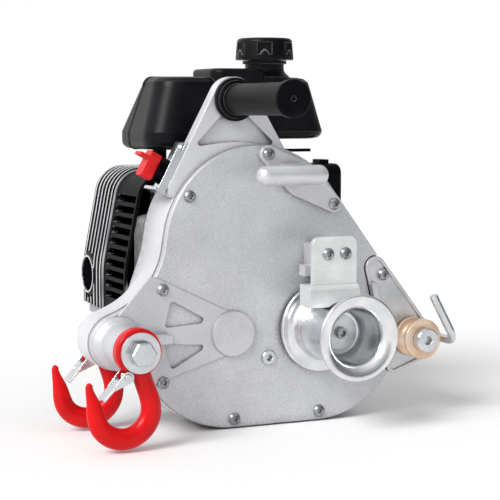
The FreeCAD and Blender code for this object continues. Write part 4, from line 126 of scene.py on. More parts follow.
# %% [markdown]
# ## Bead-blasted castings
#
# The case and its cover are die-cast aluminium, blasted with fine beads. Up close that is a
# field of tiny dimples that scatter the light, so the metal looks soft grey with a faint sparkle.
# Large slow clouds come from handling and oil. A noise at grit size drives bump and roughness,
# and a slow noise shifts the grey a little. Where walls stand close, an occlusion node paints
# shade into the corners, broken up by the grit.

# %% Cast aluminium
# sizes are in metres as in the frame, apart from names that end in MM
# real grit is near 0.3 mm; 0.9 mm is as fine as this picture can show
GRIT_MM = 0.9
CLOUD_MM = 38
CLOUD_SHARE = 0.35
CASTING_PLACES = (0.4, 0.67, 0.94)
CASTING_EDGE_MM = 1.2
CORNER_REACH = 0.016
SPECKLE_SHARE = 0.5
# tones of the shade painted into the corners
CORNER_PAINTED_SHADE = [(0.5, "#8f8f93"), (0.98, "#ffffff")]


def blasted_casting(name, tones, rough):
    """Die-cast aluminium after bead blasting; tones are hex values from dark to light."""
    finish, tree, shader, place, eased = new_finish(name, edge=CASTING_EDGE_MM)
    grit = add(tree, "ShaderNodeTexNoise", {"Scale": per_mm(GRIT_MM), "Detail": 3.0}, Vector=place)
    cloud = add(tree, "ShaderNodeTexNoise", {"Scale": per_mm(CLOUD_MM), "Detail": 2.0}, Vector=place)
    blend = add(tree, "ShaderNodeMath", {"operation": "MULTIPLY_ADD", 1: CLOUD_SHARE},
                _0=cloud.outputs["Fac"], _2=grit.outputs["Fac"])
    stops = list(zip(CASTING_PLACES, tones))
    colour = add(tree, "ShaderNodeValToRGB", {"stops": stops}, _0=blend.outputs[0])
    # painted shade: corners darken where walls stand close, speckled by the grit
    corner = add(tree, "ShaderNodeAmbientOcclusion", {"samples": 6, "Distance": CORNER_REACH})
    speckle = add(tree, "ShaderNodeMath", {"operation": "MULTIPLY_ADD", 1: SPECKLE_SHARE},
                  _0=grit.outputs["Fac"], _2=corner.outputs["AO"])
    painted_shade = add(tree, "ShaderNodeValToRGB", {"stops": CORNER_PAINTED_SHADE}, _0=speckle.outputs[0])
    shaded_colour = add(tree, "ShaderNodeMix", {"data_type": "RGBA", "blend_type": "MULTIPLY", 0: 1.0},
                 _6=colour.outputs[0], _7=painted_shade.outputs[0])
    tree.links.new(shaded_colour.outputs[2], shader.inputs["Base Color"])
    rub = add(tree, "ShaderNodeMapRange", {"To Min": rough - 0.07, "To Max": rough + 0.08},
              Value=grit.outputs["Fac"])
    tree.links.new(rub.outputs[0], shader.inputs["Roughness"])
    dents = add(tree, "ShaderNodeBump", {"Strength": 0.3, "Distance": 0.0003},
                Height=grit.outputs["Fac"], Normal=eased)
    tree.links.new(dents.outputs[0], shader.inputs["Normal"])
    # half of the light is scattered by the dimples as by a matt paint
    shader.inputs["Metallic"].default_value = 0.5
    return finish


cover_cast = blasted_casting("blasted_cover_casting", ("#b1b2b6", "#cacbcf", "#dddee1"), rough=0.46)
case_cast = blasted_casting("blasted_case_casting", ("#c9cacd", "#dcdde0", "#ebebed"), rough=0.42)
engine_cast = blasted_casting("engine_die_casting", ("#8d9094", "#a2a4a8", "#b7b9bc"), rough=0.5)
cleat_cast = blasted_casting("tumbled_cleat_casting", ("#c2c3c6", "#d4d5d8", "#e4e4e6"), rough=0.38)
print("castings:", cover_cast.name, case_cast.name, engine_cast.name, cleat_cast.name)

# %% [markdown]
# ## Turned metal
#
# The drum and the roller come off a lathe. The tool leaves fine rings about the axis, which
# stretch every highlight across the turning direction. The rings follow two things: how far a
# point lies from the axis, and how far along it. Both feed one noise, so flares and barrels get
# their rings from the same recipe.

# %% Turned metal
# a lathe tool moves about 0.2 mm each turn; 0.7 mm is as fine as this picture can show
RING_MM = 0.7
RING_DEPTH = 0.00012
RING_SHARE = 0.6
SMEAR_MM = 16
METAL_PLACES = (0.5, 0.8, 1.0)


def turned_metal(name, axis, tones, rough, metallic=1.0):
    """Metal turned about an axis along Y through that point; tones are hex values from dark to light."""
    finish, tree, shader, place, eased = new_finish(name)
    centred = add(tree, "ShaderNodeVectorMath", {"operation": "SUBTRACT", 1: (axis[0], 0, axis[2])},
                  _0=place)
    parts = add(tree, "ShaderNodeSeparateXYZ", Vector=centred.outputs[0])
    flat = add(tree, "ShaderNodeCombineXYZ", X=parts.outputs["X"], Y=parts.outputs["Z"])
    reach = add(tree, "ShaderNodeVectorMath", {"operation": "LENGTH"}, _0=flat.outputs[0])
    lathe = add(tree, "ShaderNodeCombineXYZ", X=reach.outputs["Value"], Y=parts.outputs["Y"])
    rings = add(tree, "ShaderNodeTexNoise",
                {"noise_dimensions": "2D", "Scale": per_mm(RING_MM), "Detail": 2.0}, Vector=lathe.outputs[0])
    smear = add(tree, "ShaderNodeTexNoise", {"Scale": per_mm(SMEAR_MM), "Detail": 2.0}, Vector=place)
    blend = add(tree, "ShaderNodeMath", {"operation": "MULTIPLY_ADD", 1: RING_SHARE},
                _0=rings.outputs["Fac"], _2=smear.outputs["Fac"])
    stops = list(zip(METAL_PLACES, tones))
    colour = add(tree, "ShaderNodeValToRGB", {"stops": stops}, _0=blend.outputs[0])
    tree.links.new(colour.outputs[0], shader.inputs["Base Color"])
    rub = add(tree, "ShaderNodeMapRange", {"To Min": rough - 0.06, "To Max": rough + 0.1},
              Value=rings.outputs["Fac"])
    tree.links.new(rub.outputs[0], shader.inputs["Roughness"])
    groove = add(tree, "ShaderNodeBump", {"Strength": 0.3, "Distance": RING_DEPTH},
                 Height=rings.outputs["Fac"], Normal=eased)
    tree.links.new(groove.outputs[0], shader.inputs["Normal"])
    shader.inputs["Metallic"].default_value = metallic
    return finish


joint_at = {joint["name"]: joint.get("pos_m") for joint in frame["joints"]}
drum_at = joint_at["drum_spin"]
roller_at = joint_at["roller_spin"]
drum_turned = turned_metal("turned_drum_aluminium", drum_at, ("#cfd1d4", "#e2e3e5", "#f0f0f1"), rough=0.2)
roller_turned = turned_metal("turned_roller_bronze", roller_at, ("#d9b595", "#e9c9ae", "#f3dcc8"),
                             rough=0.36, metallic=0.55)
hub_turned = turned_metal("turned_hub_aluminium", drum_at, ("#b4b6b9", "#c9cbcd", "#dadbdd"), rough=0.3)
print("turned about", [round(v, 3) for v in drum_at], [round(v, 3) for v in roller_at])

# %% [markdown]
# ## Brushed, tumbled and plated metal
#
# The guard plate is brushed: long fine scratches that all run one way. Stretching the
# coordinates before the noise does that. The arm and the block are tumbled in a drum with
# stones, which leaves a soft, even satin with short random marks. With coarser marks the same
# recipe gives the zinc-plated bolts and latches, the bare steel screws and the silencer's sheet,
# and with marks along the axis the ground gears. Every hollow of a few millimetres gets painted
# shade, so sockets and narrow gaps go dark.

# %% Brushed, tumbled and plated metal
# real scratches are near 0.1 mm wide; 0.6 mm is as fine as this picture can show
SCRATCH_MM = 0.6
SCRATCH_SHARE = 0.6
HANDLING_MM = 22
HOLLOW_REACH = 0.0035
# tones of the shade painted into hollows
HOLLOW_PAINTED_SHADE = [(0.2, "#2c2c2e"), (0.6, "#ffffff")]


def brushed_metal(name, stretch, tones, rough, grain=SCRATCH_MM, metallic=1.0):
    """Metal with marks of a grain in millimetres; stretch is how long a mark is along X, Y and Z."""
    finish, tree, shader, place, eased = new_finish(name)
    long = add(tree, "ShaderNodeMapping", {"Scale": tuple(1 / s for s in stretch)}, Vector=place)
    lines = add(tree, "ShaderNodeTexNoise", {"Scale": per_mm(grain), "Detail": 4.0}, Vector=long.outputs[0])
    cloud = add(tree, "ShaderNodeTexNoise", {"Scale": per_mm(HANDLING_MM), "Detail": 2.0}, Vector=place)
    blend = add(tree, "ShaderNodeMath", {"operation": "MULTIPLY_ADD", 1: SCRATCH_SHARE},
                _0=lines.outputs["Fac"], _2=cloud.outputs["Fac"])
    stops = list(zip(METAL_PLACES, tones))
    colour = add(tree, "ShaderNodeValToRGB", {"stops": stops}, _0=blend.outputs[0])
    # painted shade: hollows of a few millimetres go dark
    hollow = add(tree, "ShaderNodeAmbientOcclusion", {"samples": 6, "Distance": HOLLOW_REACH})
    painted_shade = add(tree, "ShaderNodeValToRGB", {"stops": HOLLOW_PAINTED_SHADE}, _0=hollow.outputs["AO"])
    shaded_colour = add(tree, "ShaderNodeMix", {"data_type": "RGBA", "blend_type": "MULTIPLY", 0: 1.0},
                 _6=colour.outputs[0], _7=painted_shade.outputs[0])
    tree.links.new(shaded_colour.outputs[2], shader.inputs["Base Color"])
    rub = add(tree, "ShaderNodeMapRange", {"To Min": rough - 0.08, "To Max": rough + 0.1},
              Value=lines.outputs["Fac"])
    tree.links.new(rub.outputs[0], shader.inputs["Roughness"])
    score = add(tree, "ShaderNodeBump", {"Strength": 0.2, "Distance": 0.0002},
                Height=lines.outputs["Fac"], Normal=eased)
    tree.links.new(score.outputs[0], shader.inputs["Normal"])
    shader.inputs["Metallic"].default_value = metallic
    return finish


guard_brushed = brushed_metal("brushed_guard_plate", (14, 14, 1), ("#dadcdd", "#e4e6e6", "#eeefef"),
                              rough=0.36, metallic=0.55)
tumbled = brushed_metal("tumbled_aluminium", (2, 1, 1), ("#c4c6c8", "#d4d5d7", "#e2e2e4"),
                        rough=0.36, grain=1.2, metallic=0.7)
zinc = brushed_metal("bright_zinc_plate", (1, 1, 1), ("#c4c7cb", "#d0d3d6", "#dcdddf"),
                     rough=0.24, grain=4.0)
screw_steel = brushed_metal("bare_screw_steel", (1, 1, 1), ("#85878a", "#9c9ea1", "#b4b6b8"),
                            rough=0.28, grain=2.0)
gear_steel = brushed_metal("ground_gear_steel", (1, 6, 1), ("#7b7e83", "#92959a", "#a9abaf"), rough=0.34)
silencer_steel = brushed_metal("bare_silencer_steel", (1, 1, 3), ("#b3b1ae", "#cccac8", "#e0dfde"),
                               rough=0.42, grain=3.0, metallic=0.4)
print("brushed and plated:", guard_brushed.name, tumbled.name, zinc.name, screw_steel.name)

# %% [markdown]
# ## Powder coat, plastics and rubber
#
# The hooks wear a thick red powder coat. It is glossy but never quite flat: it sets with the
# gentle waves known as orange peel. The engine's covers are moulded black plastic with a spark
# eroded grain that greys the highlights, and the grip is matt rubber that picks up dust. Every edge
# gets a painted highlight: a pale grey line on the tank and the grip, elsewhere the palest tone of
# its own colour. An edge is found by comparing the eased normal with the plain one: they part
# only where the surface turns sharply.

# %% Coats, plastics and rubber
# orange peel is 2 to 3 mm wide; moulded grain is near 0.2 mm and drawn about 1 mm wide so that it shows
DRIFT_MM = 26
SKIN_SHARE = 0.5
COAT_PLACES = (0.3, 0.5, 0.7)
EDGE_BEGINS = 0.98
EDGE_FULL = 0.82


def coated(name, tones, rough, peel, depth, coat=0.0, shine=0.5, edge_highlight=None):
    """A painted or moulded surface; tones are hex values from dark to light.

    The skin's waves are peel wide and depth high in millimetres; the last argument is the tone of the
    highlight painted on edges.
    """
    finish, tree, shader, place, eased = new_finish(name)
    skin = add(tree, "ShaderNodeTexNoise", {"Scale": per_mm(peel), "Detail": 2.0}, Vector=place)
    drift = add(tree, "ShaderNodeTexNoise", {"Scale": per_mm(DRIFT_MM), "Detail": 3.0}, Vector=place)
    stops = list(zip(COAT_PLACES, tones))
    colour = add(tree, "ShaderNodeValToRGB", {"stops": stops}, _0=drift.outputs["Fac"])
    # painted highlight: sharp edges are coloured lighter, in the given tone or the palest one
    plain = add(tree, "ShaderNodeNewGeometry").outputs["Normal"]
    bend = add(tree, "ShaderNodeVectorMath", {"operation": "DOT_PRODUCT"}, _0=eased, _1=plain)
    edge = add(tree, "ShaderNodeMapRange", {"From Min": EDGE_BEGINS, "From Max": EDGE_FULL},
               Value=bend.outputs["Value"])
    edge_highlight_mix = add(tree, "ShaderNodeMix", {"data_type": "RGBA", 7: tone(edge_highlight or tones[-1])},
                 _0=edge.outputs[0], _6=colour.outputs[0])
    tree.links.new(edge_highlight_mix.outputs[2], shader.inputs["Base Color"])
    blend = add(tree, "ShaderNodeMath", {"operation": "MULTIPLY_ADD", 1: SKIN_SHARE},
                _0=skin.outputs["Fac"], _2=drift.outputs["Fac"])
    rub = add(tree, "ShaderNodeMapRange",
              {"From Max": 1 + SKIN_SHARE, "To Min": rough - 0.08, "To Max": rough + 0.1},
              Value=blend.outputs[0])
    tree.links.new(rub.outputs[0], shader.inputs["Roughness"])
    waves = add(tree, "ShaderNodeBump", {"Strength": 0.3, "Distance": depth / 1000},
                Height=skin.outputs["Fac"], Normal=eased)
    tree.links.new(waves.outputs[0], shader.inputs["Normal"])
    shader.inputs["Coat Weight"].default_value = coat
    shader.inputs["Coat Roughness"].default_value = 0.12
    shader.inputs["Specular IOR Level"].default_value = shine
    return finish


red_coat = coated("red_powder_coat", ("#c00308", "#d2040a", "#de080e"),
                  rough=0.34, peel=2.4, depth=0.3, coat=0.08, shine=0.2)
red_plastic = coated("red_moulded_nylon", ("#c20a10", "#d00e14", "#dc161b"),
                     rough=0.36, peel=1.6, depth=0.2, shine=0.3)
black_plastic = coated("black_grained_plastic", ("#060508", "#09080b", "#0e0d11"),
                       rough=0.27, peel=1.1, depth=0.18, shine=0.04)
# the tank and the grip below take a pale grey painted highlight on their edges
tank_plastic = coated("black_tank_polyethylene", ("#060508", "#0a090d", "#100f14"),
                      rough=0.32, peel=1.4, depth=0.2, shine=0.14, edge_highlight="#7d7c81")
black_rubber = coated("black_grip_rubber", ("#070609", "#0a090c", "#131216"),
                      rough=0.36, peel=1.0, depth=0.25, shine=0.07, edge_highlight="#8f8e92")
gasket_sheet = coated("pressed_gasket_sheet", ("#3a3833", "#47443e", "#534f48"),
                      rough=0.8, peel=1.2, depth=0.3, shine=0.2)
grey_coat = coated("grey_powder_coat", ("#6d7074", "#7b7e82", "#898c90"),
                   rough=0.4, peel=2.0, depth=0.3, coat=0.1)
print("coats:", red_coat.name, grey_coat.name, "and plastics:", black_plastic.name, tank_plastic.name)

# %% [markdown]
# ## Badge with a bright rim
#
# The round badge on the engine hood is a gloss black disc inside a plated rim. Both belong to
# one solid, so the distance from the badge's centre decides which finish shows.

# %% Badge
BADGE_RIM = 0.0019
badge_low, badge_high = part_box("hood_badge")
badge_centre = (badge_low + badge_high) / 2
badge_radius = (badge_high.z - badge_low.z) / 2
badge_finish, tree, shader, place, eased = new_finish("enamel_badge_with_plated_rim", edge=0.4)
from_centre = add(tree, "ShaderNodeVectorMath", {"operation": "SUBTRACT", 1: tuple(badge_centre)}, _0=place)
flat = add(tree, "ShaderNodeVectorMath", {"operation": "MULTIPLY", 1: (0, 1, 1)}, _0=from_centre.outputs[0])
reach = add(tree, "ShaderNodeVectorMath", {"operation": "LENGTH"}, _0=flat.outputs[0])
rim = add(tree, "ShaderNodeMath", {"operation": "GREATER_THAN", 1: badge_radius - BADGE_RIM},
          _0=reach.outputs["Value"])
dust = add(tree, "ShaderNodeTexNoise", {"Scale": per_mm(3), "Detail": 3.0}, Vector=place)
face = add(tree, "ShaderNodeValToRGB", {"stops": [(0.3, "#070609"), (0.7, "#0e0d11")]},
           _0=dust.outputs["Fac"])
plate = add(tree, "ShaderNodeValToRGB", {"stops": [(0.3, "#cfd1d4"), (0.7, "#e6e7e8")]},
            _0=dust.outputs["Fac"])
mix = add(tree, "ShaderNodeMix", {"data_type": "RGBA"},
          _0=rim.outputs[0], _6=face.outputs[0], _7=plate.outputs[0])
tree.links.new(mix.outputs[2], shader.inputs["Base Color"])
tree.links.new(rim.outputs[0], shader.inputs["Metallic"])
gloss = add(tree, "ShaderNodeMapRange", {"To Min": 0.14, "To Max": 0.26}, Value=dust.outputs["Fac"])
tree.links.new(gloss.outputs[0], shader.inputs["Roughness"])
tree.links.new(eased, shader.inputs["Normal"])
shader.inputs["Specular IOR Level"].default_value = 0.0
print("badge", round(badge_radius * 2000, 1), "mm across")

# %% [markdown]
# ## Guard with a bare inside
#
# The silencer guard is pressed from bright steel sheet and painted black on the outside only, so
# through its louvres the bare sheet shows. Paint and sheet belong to one solid, and an occlusion
# node tells them apart: the outside sees the open room, the inside sees mostly its own walls.

# %% Guard with a bare inside
ROOM_REACH = 0.008
INSIDE_BEGINS = 0.6
INSIDE_FULL = 0.42
guard_finish, tree, shader, place, eased = new_finish("guard_painted_outside_only", edge=0.4)
room = add(tree, "ShaderNodeAmbientOcclusion", {"samples": 8, "Distance": ROOM_REACH})
inside = add(tree, "ShaderNodeMapRange", {"From Min": INSIDE_BEGINS, "From Max": INSIDE_FULL},
             Value=room.outputs["AO"])
stain = add(tree, "ShaderNodeTexNoise", {"Scale": per_mm(7), "Detail": 3.0}, Vector=place)
paint = add(tree, "ShaderNodeValToRGB", {"stops": [(0.3, "#070609"), (0.7, "#0f0e12")]},
            _0=stain.outputs["Fac"])
bare = add(tree, "ShaderNodeValToRGB", {"stops": [(0.3, "#a3a2a1"), (0.7, "#efeeec")]},
           _0=stain.outputs["Fac"])
mix = add(tree, "ShaderNodeMix", {"data_type": "RGBA"},
          _0=inside.outputs[0], _6=paint.outputs[0], _7=bare.outputs[0])
tree.links.new(mix.outputs[2], shader.inputs["Base Color"])
gloss = add(tree, "ShaderNodeMapRange", {"To Min": 0.28, "To Max": 0.42}, Value=stain.outputs["Fac"])
tree.links.new(gloss.outputs[0], shader.inputs["Roughness"])
grain = add(tree, "ShaderNodeBump", {"Strength": 0.2, "Distance": 0.0002},
            Height=stain.outputs["Fac"], Normal=eased)
tree.links.new(grain.outputs[0], shader.inputs["Normal"])
shader.inputs["Specular IOR Level"].default_value = 0.03
print("guard", guard_finish.name)

# %% [markdown]
# ## Handing the finishes out
#
# Each solid keeps its exact shape and takes the finish of the part it stands for. A table is
# easier to check than sixty assignments, and a solid that was forgotten stops the script.

# %% Hand the finishes out
FINISHES = {
    case_cast: ["gear_case"],
    cover_cast: ["front_cover"],
    engine_cast: ["engine_block", "cylinder", "carburettor"],
    drum_turned: ["capstan_drum"],
    hub_turned: ["drum_retainer"],
    roller_turned: ["entry_roller"],
    guard_brushed: ["drum_guard"],
    cleat_cast: ["rope_cleat"],
    tumbled: ["guard_block", "roller_arm"],
    screw_steel: ["button_screws", "drum_screw"],
    zinc: ["anchor_bolt", "anchor_washers", "anchor_nut", "front_latch", "rear_latch",
           "front_latch_pin", "rear_latch_pin", "front_latch_spring", "rear_latch_spring",
           "roller_bolt", "rope_keeper", "throttle_bracket", "handle_bar", "oil_plug"],
    gear_steel: ["output_shaft", "output_gear", "layshaft", "layshaft_gear", "layshaft_pinion",
                 "input_pinion", "ball_bearings", "clutch_bell", "clutch_shoes", "crankshaft",
                 "flywheel"],
    red_coat: ["front_hook", "rear_hook"],
    red_plastic: ["throttle_lever"],
    black_plastic: ["fan_cover", "starter_cover", "starter_grip", "air_cleaner", "throttle_base",
                    "choke_lever", "spark_plug"],
    tank_plastic: ["fuel_tank", "fuel_cap"],
    black_rubber: ["handle_grip", "shaft_seal", "tank_mounts"],
    gasket_sheet: ["cover_gasket"],
    grey_coat: ["rear_foot"],
    silencer_steel: ["muffler"],
    badge_finish: ["hood_badge"],
    guard_finish: ["muffler_guard"],
}
for finish, names in FINISHES.items():
    for name in names:
        nodes[name].data.materials.clear()
        nodes[name].data.materials.append(finish)
left_over = sorted(set(nodes) - {name for names in FINISHES.values() for name in names})
assert not left_over, left_over
print(len(FINISHES), "finishes on", len(nodes), "solids")

# %% [markdown]
# ## Paths with rounded corners
#
# The edges of a moulding run straight and turn in arcs. A short list of corners with a rounding
# each says all of that, and it is easier to read than a long list of points. Each arc swings from
# one straight run to the next about the centre that both runs touch.

# %% Paths with rounded corners


def rounded_path(corners, steps=8):
    """Points along straight runs with arcs; corners are (x, z, rounding) in metres, the ends (x, z)."""
    points = [Vector(corners[0][:2])]
    for before, here, after in zip(corners, corners[1:], corners[2:]):
        corner = Vector(here[:2])
        back = (Vector(before[:2]) - corner).normalized()
        ahead = (Vector(after[:2]) - corner).normalized()
        half = back.angle(ahead) / 2
        centre = corner + (back + ahead).normalized() * here[2] / math.sin(half)
        start = (corner + back * here[2] / math.tan(half) - centre).normalized()
        end = (corner + ahead * here[2] / math.tan(half) - centre).normalized()
        for step in range(steps + 1):
            points.append(centre + start.slerp(end, step / steps) * here[2])
    points.append(Vector(corners[-1][:2]))
    return points


print("a corner becomes", len(rounded_path([(0, 0), (1, 0, 0.1), (1, 1)])) - 2, "points")

# %% [markdown]
# ## Beads that follow a path
#
# Moulded covers have edges that are never quite sharp: a rounded crest catches the light as a
# thin bright line. A solid model keeps those edges plain, so here they become slim beads, and a
# pale finish on a bead paints that line. One node group does them all: it repeats a path along
# the depth, draws it in a little each time, and sweeps a small circle along it. The result is
# turned into a plain mesh that rides on the frame.

# %% Beads that follow a path


def bead_group():
    """Node group: repeat a path along Y, shrink it in X each time and sweep a circle along it."""
    tree = bpy.data.node_groups.new("bead_along_path", "GeometryNodeTree")
    for label, kind in (("Path", "Geometry"), ("Count", "Int"), ("Pitch", "Float"), ("Shrink", "Float"),
                        ("Radius", "Float"), ("Finish", "Material")):
        tree.interface.new_socket(label, in_out="INPUT", socket_type=f"NodeSocket{kind}")
    tree.interface.new_socket("Bead", in_out="OUTPUT", socket_type="NodeSocketGeometry")
    given = add(tree, "NodeGroupInput").outputs
    step = add(tree, "ShaderNodeCombineXYZ", Y=given["Pitch"])
    row = add(tree, "GeometryNodeMeshLine", Count=given["Count"], Offset=step.outputs[0])
    place = add(tree, "GeometryNodeInputIndex")
    lost = add(tree, "ShaderNodeMath", {"operation": "MULTIPLY"}, _0=place.outputs[0], _1=given["Shrink"])
    width = add(tree, "ShaderNodeMath", {"operation": "SUBTRACT", 0: 1.0}, _1=lost.outputs[0])
    scale = add(tree, "ShaderNodeCombineXYZ", {"Y": 1.0, "Z": 1.0}, X=width.outputs[0])
    copies = add(tree, "GeometryNodeInstanceOnPoints", Points=row.outputs[0], Instance=given["Path"],
                 Scale=scale.outputs[0])
    circle = add(tree, "GeometryNodeCurvePrimitiveCircle", {"Resolution": 8}, Radius=given["Radius"])
    swept = add(tree, "GeometryNodeCurveToMesh", {"Fill Caps": True}, Curve=copies.outputs[0],
                Profile_Curve=circle.outputs[0])
    plain = add(tree, "GeometryNodeRealizeInstances", Geometry=swept.outputs[0])
    dressed = add(tree, "GeometryNodeSetMaterial", Geometry=plain.outputs[0], Material=given["Finish"])
    add(tree, "NodeGroupOutput", Bead=dressed.outputs[0])
    return tree


BEADS = bead_group()


def bead(name, points, middle_x, y, radius, finish, count=1, pitch=0.0, shrink=0.0):
    """One plain mesh of beads that rides on the frame; the path is centred on middle_x."""
    curve = bpy.data.curves.new(name, "CURVE")
    curve.dimensions = "3D"
    spline = curve.splines.new("POLY")
    spline.points.add(len(points) - 1)
    for mark, spot in zip(spline.points, points):
        mark.co = (spot.x - middle_x, 0, spot.y, 1)
    holder = bpy.data.objects.new(f"{name}_path", curve)
    scene.collection.objects.link(holder)
    sweep = holder.modifiers.new("sweep", "NODES")
    sweep.node_group = BEADS
    values = {"Count": count, "Pitch": pitch, "Shrink": shrink, "Radius": radius, "Finish": finish}
    for socket in BEADS.interface.items_tree:
        if socket.name in values:
            sweep[socket.identifier] = values[socket.name]
    ready = holder.evaluated_get(bpy.context.evaluated_depsgraph_get())
    mesh = bpy.data.meshes.new_from_object(ready)
    bpy.data.objects.remove(holder)
    for vertex in mesh.vertices:
        vertex.co += Vector((middle_x, y, 0))
    mesh.polygons.foreach_set("use_smooth", [True] * len(mesh.polygons))
    piece = bpy.data.objects.new(name, mesh)
    scene.collection.objects.link(piece)
    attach(piece, "frame")
    print(name, len(mesh.polygons), "faces")
    return piece


print("bead group of", len(BEADS.nodes), "nodes")

# %% [markdown]
# ## Outline of the fan hood
#
# The fan hood is one big moulding. From the front its sides stand upright, bend inwards and meet
# the flat top in two round corners. Crests and rim both follow that outline, so one function
# draws it, set in from the skin by as much as it is told.

# %% Outline of the fan hood
# the sides bend inwards at the height TURN and have come in by LEAN at the top
HOOD_TURN = 0.146
HOOD_LEAN = 0.018
# roundings of that bend and of the top corners
HOOD_BEND = 0.093
HOOD_CORNER = 0.029
fan_low, fan_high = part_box("fan_cover")
fan_middle = (fan_low.x + fan_high.x) / 2
fan_width = fan_high.x - fan_low.x
fan_depth = fan_high.y - fan_low.y


def hood_path(inset):
    """The hood's outline seen from the front, from its left foot over the top to its right foot."""
    left, right, top = fan_low.x + inset, fan_high.x - inset, fan_high.z - inset
    return rounded_path([
        (left, fan_low.z),
        (left, HOOD_TURN, HOOD_BEND),
        (left + HOOD_LEAN, top, HOOD_CORNER - inset),
        (right - HOOD_LEAN, top, HOOD_CORNER - inset),
        (right, HOOD_TURN, HOOD_BEND),
        (right, fan_low.z),
    ])


print("hood", round(fan_width * 1000, 1), "mm wide and", round(fan_depth * 1000, 1), "mm deep")

# %% [markdown]
# ## Crests of the hood's ribs
#
# Six ribs run round the hood, each drawn in a little more than the one before so that the
# moulding leaves its tool. Pale beads on the crests paint their highlights, and a pale bead on
# the rim of the mouth, where the guard meets the hood, does the same. Round the badge the ribs
# make room, so the crests are cut away there. The cut needs points close together, or it would be ragged.

# %% Crests of the hood's ribs
HOOD_TAPER = 0.0055
RIB_COUNT = 6
RIB_PITCH = 0.0124
RIB_FIRST = 0.003
RIB_HEIGHT = 0.003
CREST_RADIUS = 0.0011
CREST_STEP = 0.002
BADGE_CLEARANCE = 0.0035
RIM_RADIUS = 0.002


def close_points(points, gap):
    """The same path with a point at least every so many metres."""
    dense = [points[0]]
    for start, end in zip(points, points[1:]):
        count = math.ceil((end - start).length / gap)
        dense += [start.lerp(end, step / count) for step in range(1, count + 1)]
    return dense


def clear_round_badge(piece):
    """Cuts away what lies close to the badge on the hood's left side."""
    shape = bmesh.new()
    shape.from_mesh(piece.data)
    reach = badge_radius + BADGE_CLEARANCE
    near = [spot for spot in shape.verts if spot.co.x < fan_middle
            and math.hypot(spot.co.y - badge_centre.y, spot.co.z - badge_centre.z) < reach]
    bmesh.ops.delete(shape, geom=near, context="VERTS")
    shape.to_mesh(piece.data)
    shape.free()


# pale finishes that paint highlights on the rib crests and on the mouth rim
crest_painted_highlight = coated("painted_highlight_on_crests", ("#b4b6b8", "#c8cacc", "#dadbdc"),
                      rough=0.3, peel=1.1, depth=0.1)
rim_painted_highlight = coated("painted_highlight_on_rim", ("#6c6d70", "#85868a", "#a2a3a6"),
                    rough=0.34, peel=1.1, depth=0.1)
shrink = 2 * HOOD_TAPER * RIB_PITCH / fan_depth / fan_width
crest_path = close_points(hood_path(CREST_RADIUS / 2), CREST_STEP)
crests = bead("hood_rib_crest_highlights", crest_path, fan_middle, fan_low.y + RIB_FIRST + CREST_RADIUS, CREST_RADIUS,
              crest_painted_highlight, count=RIB_COUNT, pitch=RIB_PITCH, shrink=shrink)
clear_round_badge(crests)
# a pale bead painted as the highlight along the mouth rim
bead("hood_mouth_rim_highlight", hood_path(RIB_HEIGHT), fan_middle, fan_low.y + RIM_RADIUS, RIM_RADIUS, rim_painted_highlight)

# %% [markdown]
# ## Seam of the fuel tank
#
# The tank is blown from two halves, front and back. Where the halves of the mould close, a thin
# raised line stays on the skin. It runs up the left side, over the top and down the right side.
# A bead half sunk in the skin makes it, along a path that follows the tank's own corners.

# %% Seam of the fuel tank
TANK_TOP = 0.328
# the bottom is round by BELLY and lies higher on the right by RISE
TANK_BELLY = 0.007
TANK_RIGHT_RISE = 0.0095
# the walls come in by these shares of their height and end in an upright edge below the top
TANK_LEFT_LEAN_SHARE = 0.35
TANK_RIGHT_LEAN_SHARE = 0.15
TANK_EDGE = 0.009
TANK_WALL_TURN = 0.002
TANK_EDGE_TURN = 0.0085
SEAM_BACK = 0.012
SEAM_RADIUS = 0.0007
tank_low, tank_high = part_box("fuel_tank")
waist = tank_low.z + TANK_RIGHT_RISE + TANK_BELLY
wall = TANK_TOP - waist - TANK_EDGE
left_top = tank_low.x + wall * TANK_LEFT_LEAN_SHARE
right_top = tank_high.x - wall * TANK_RIGHT_LEAN_SHARE
seam = rounded_path([
    (tank_low.x + TANK_BELLY * 2, tank_low.z),
    (tank_low.x, tank_low.z, TANK_BELLY),
    (tank_low.x, waist, TANK_BELLY),
    (left_top, TANK_TOP - TANK_EDGE, TANK_WALL_TURN),
    (left_top, TANK_TOP, TANK_EDGE_TURN),
    (right_top, TANK_TOP, TANK_EDGE_TURN),
    (right_top, TANK_TOP - TANK_EDGE, TANK_WALL_TURN),
    (tank_high.x, waist, TANK_BELLY / 4),
    (tank_high.x, waist - TANK_BELLY, TANK_BELLY / 2),
    (tank_high.x - TANK_BELLY * 2, waist - TANK_BELLY),
])
tank_middle = (tank_low.x + tank_high.x) / 2
seam_y = (tank_low.y + tank_high.y) / 2 + SEAM_BACK
bead("tank_seam", seam, tank_middle, seam_y, SEAM_RADIUS, tank_plastic)

# %% [markdown]
# ## Wire cloth
#
# Twigs and leaves would choke the fan, so fine wire cloth sits behind the slots of the starter
# cover. Its wires are blackened steel. Seen through the slots it is a dark sheet with a faint
# slanting pattern, so one set of bands in tone and bump is enough.

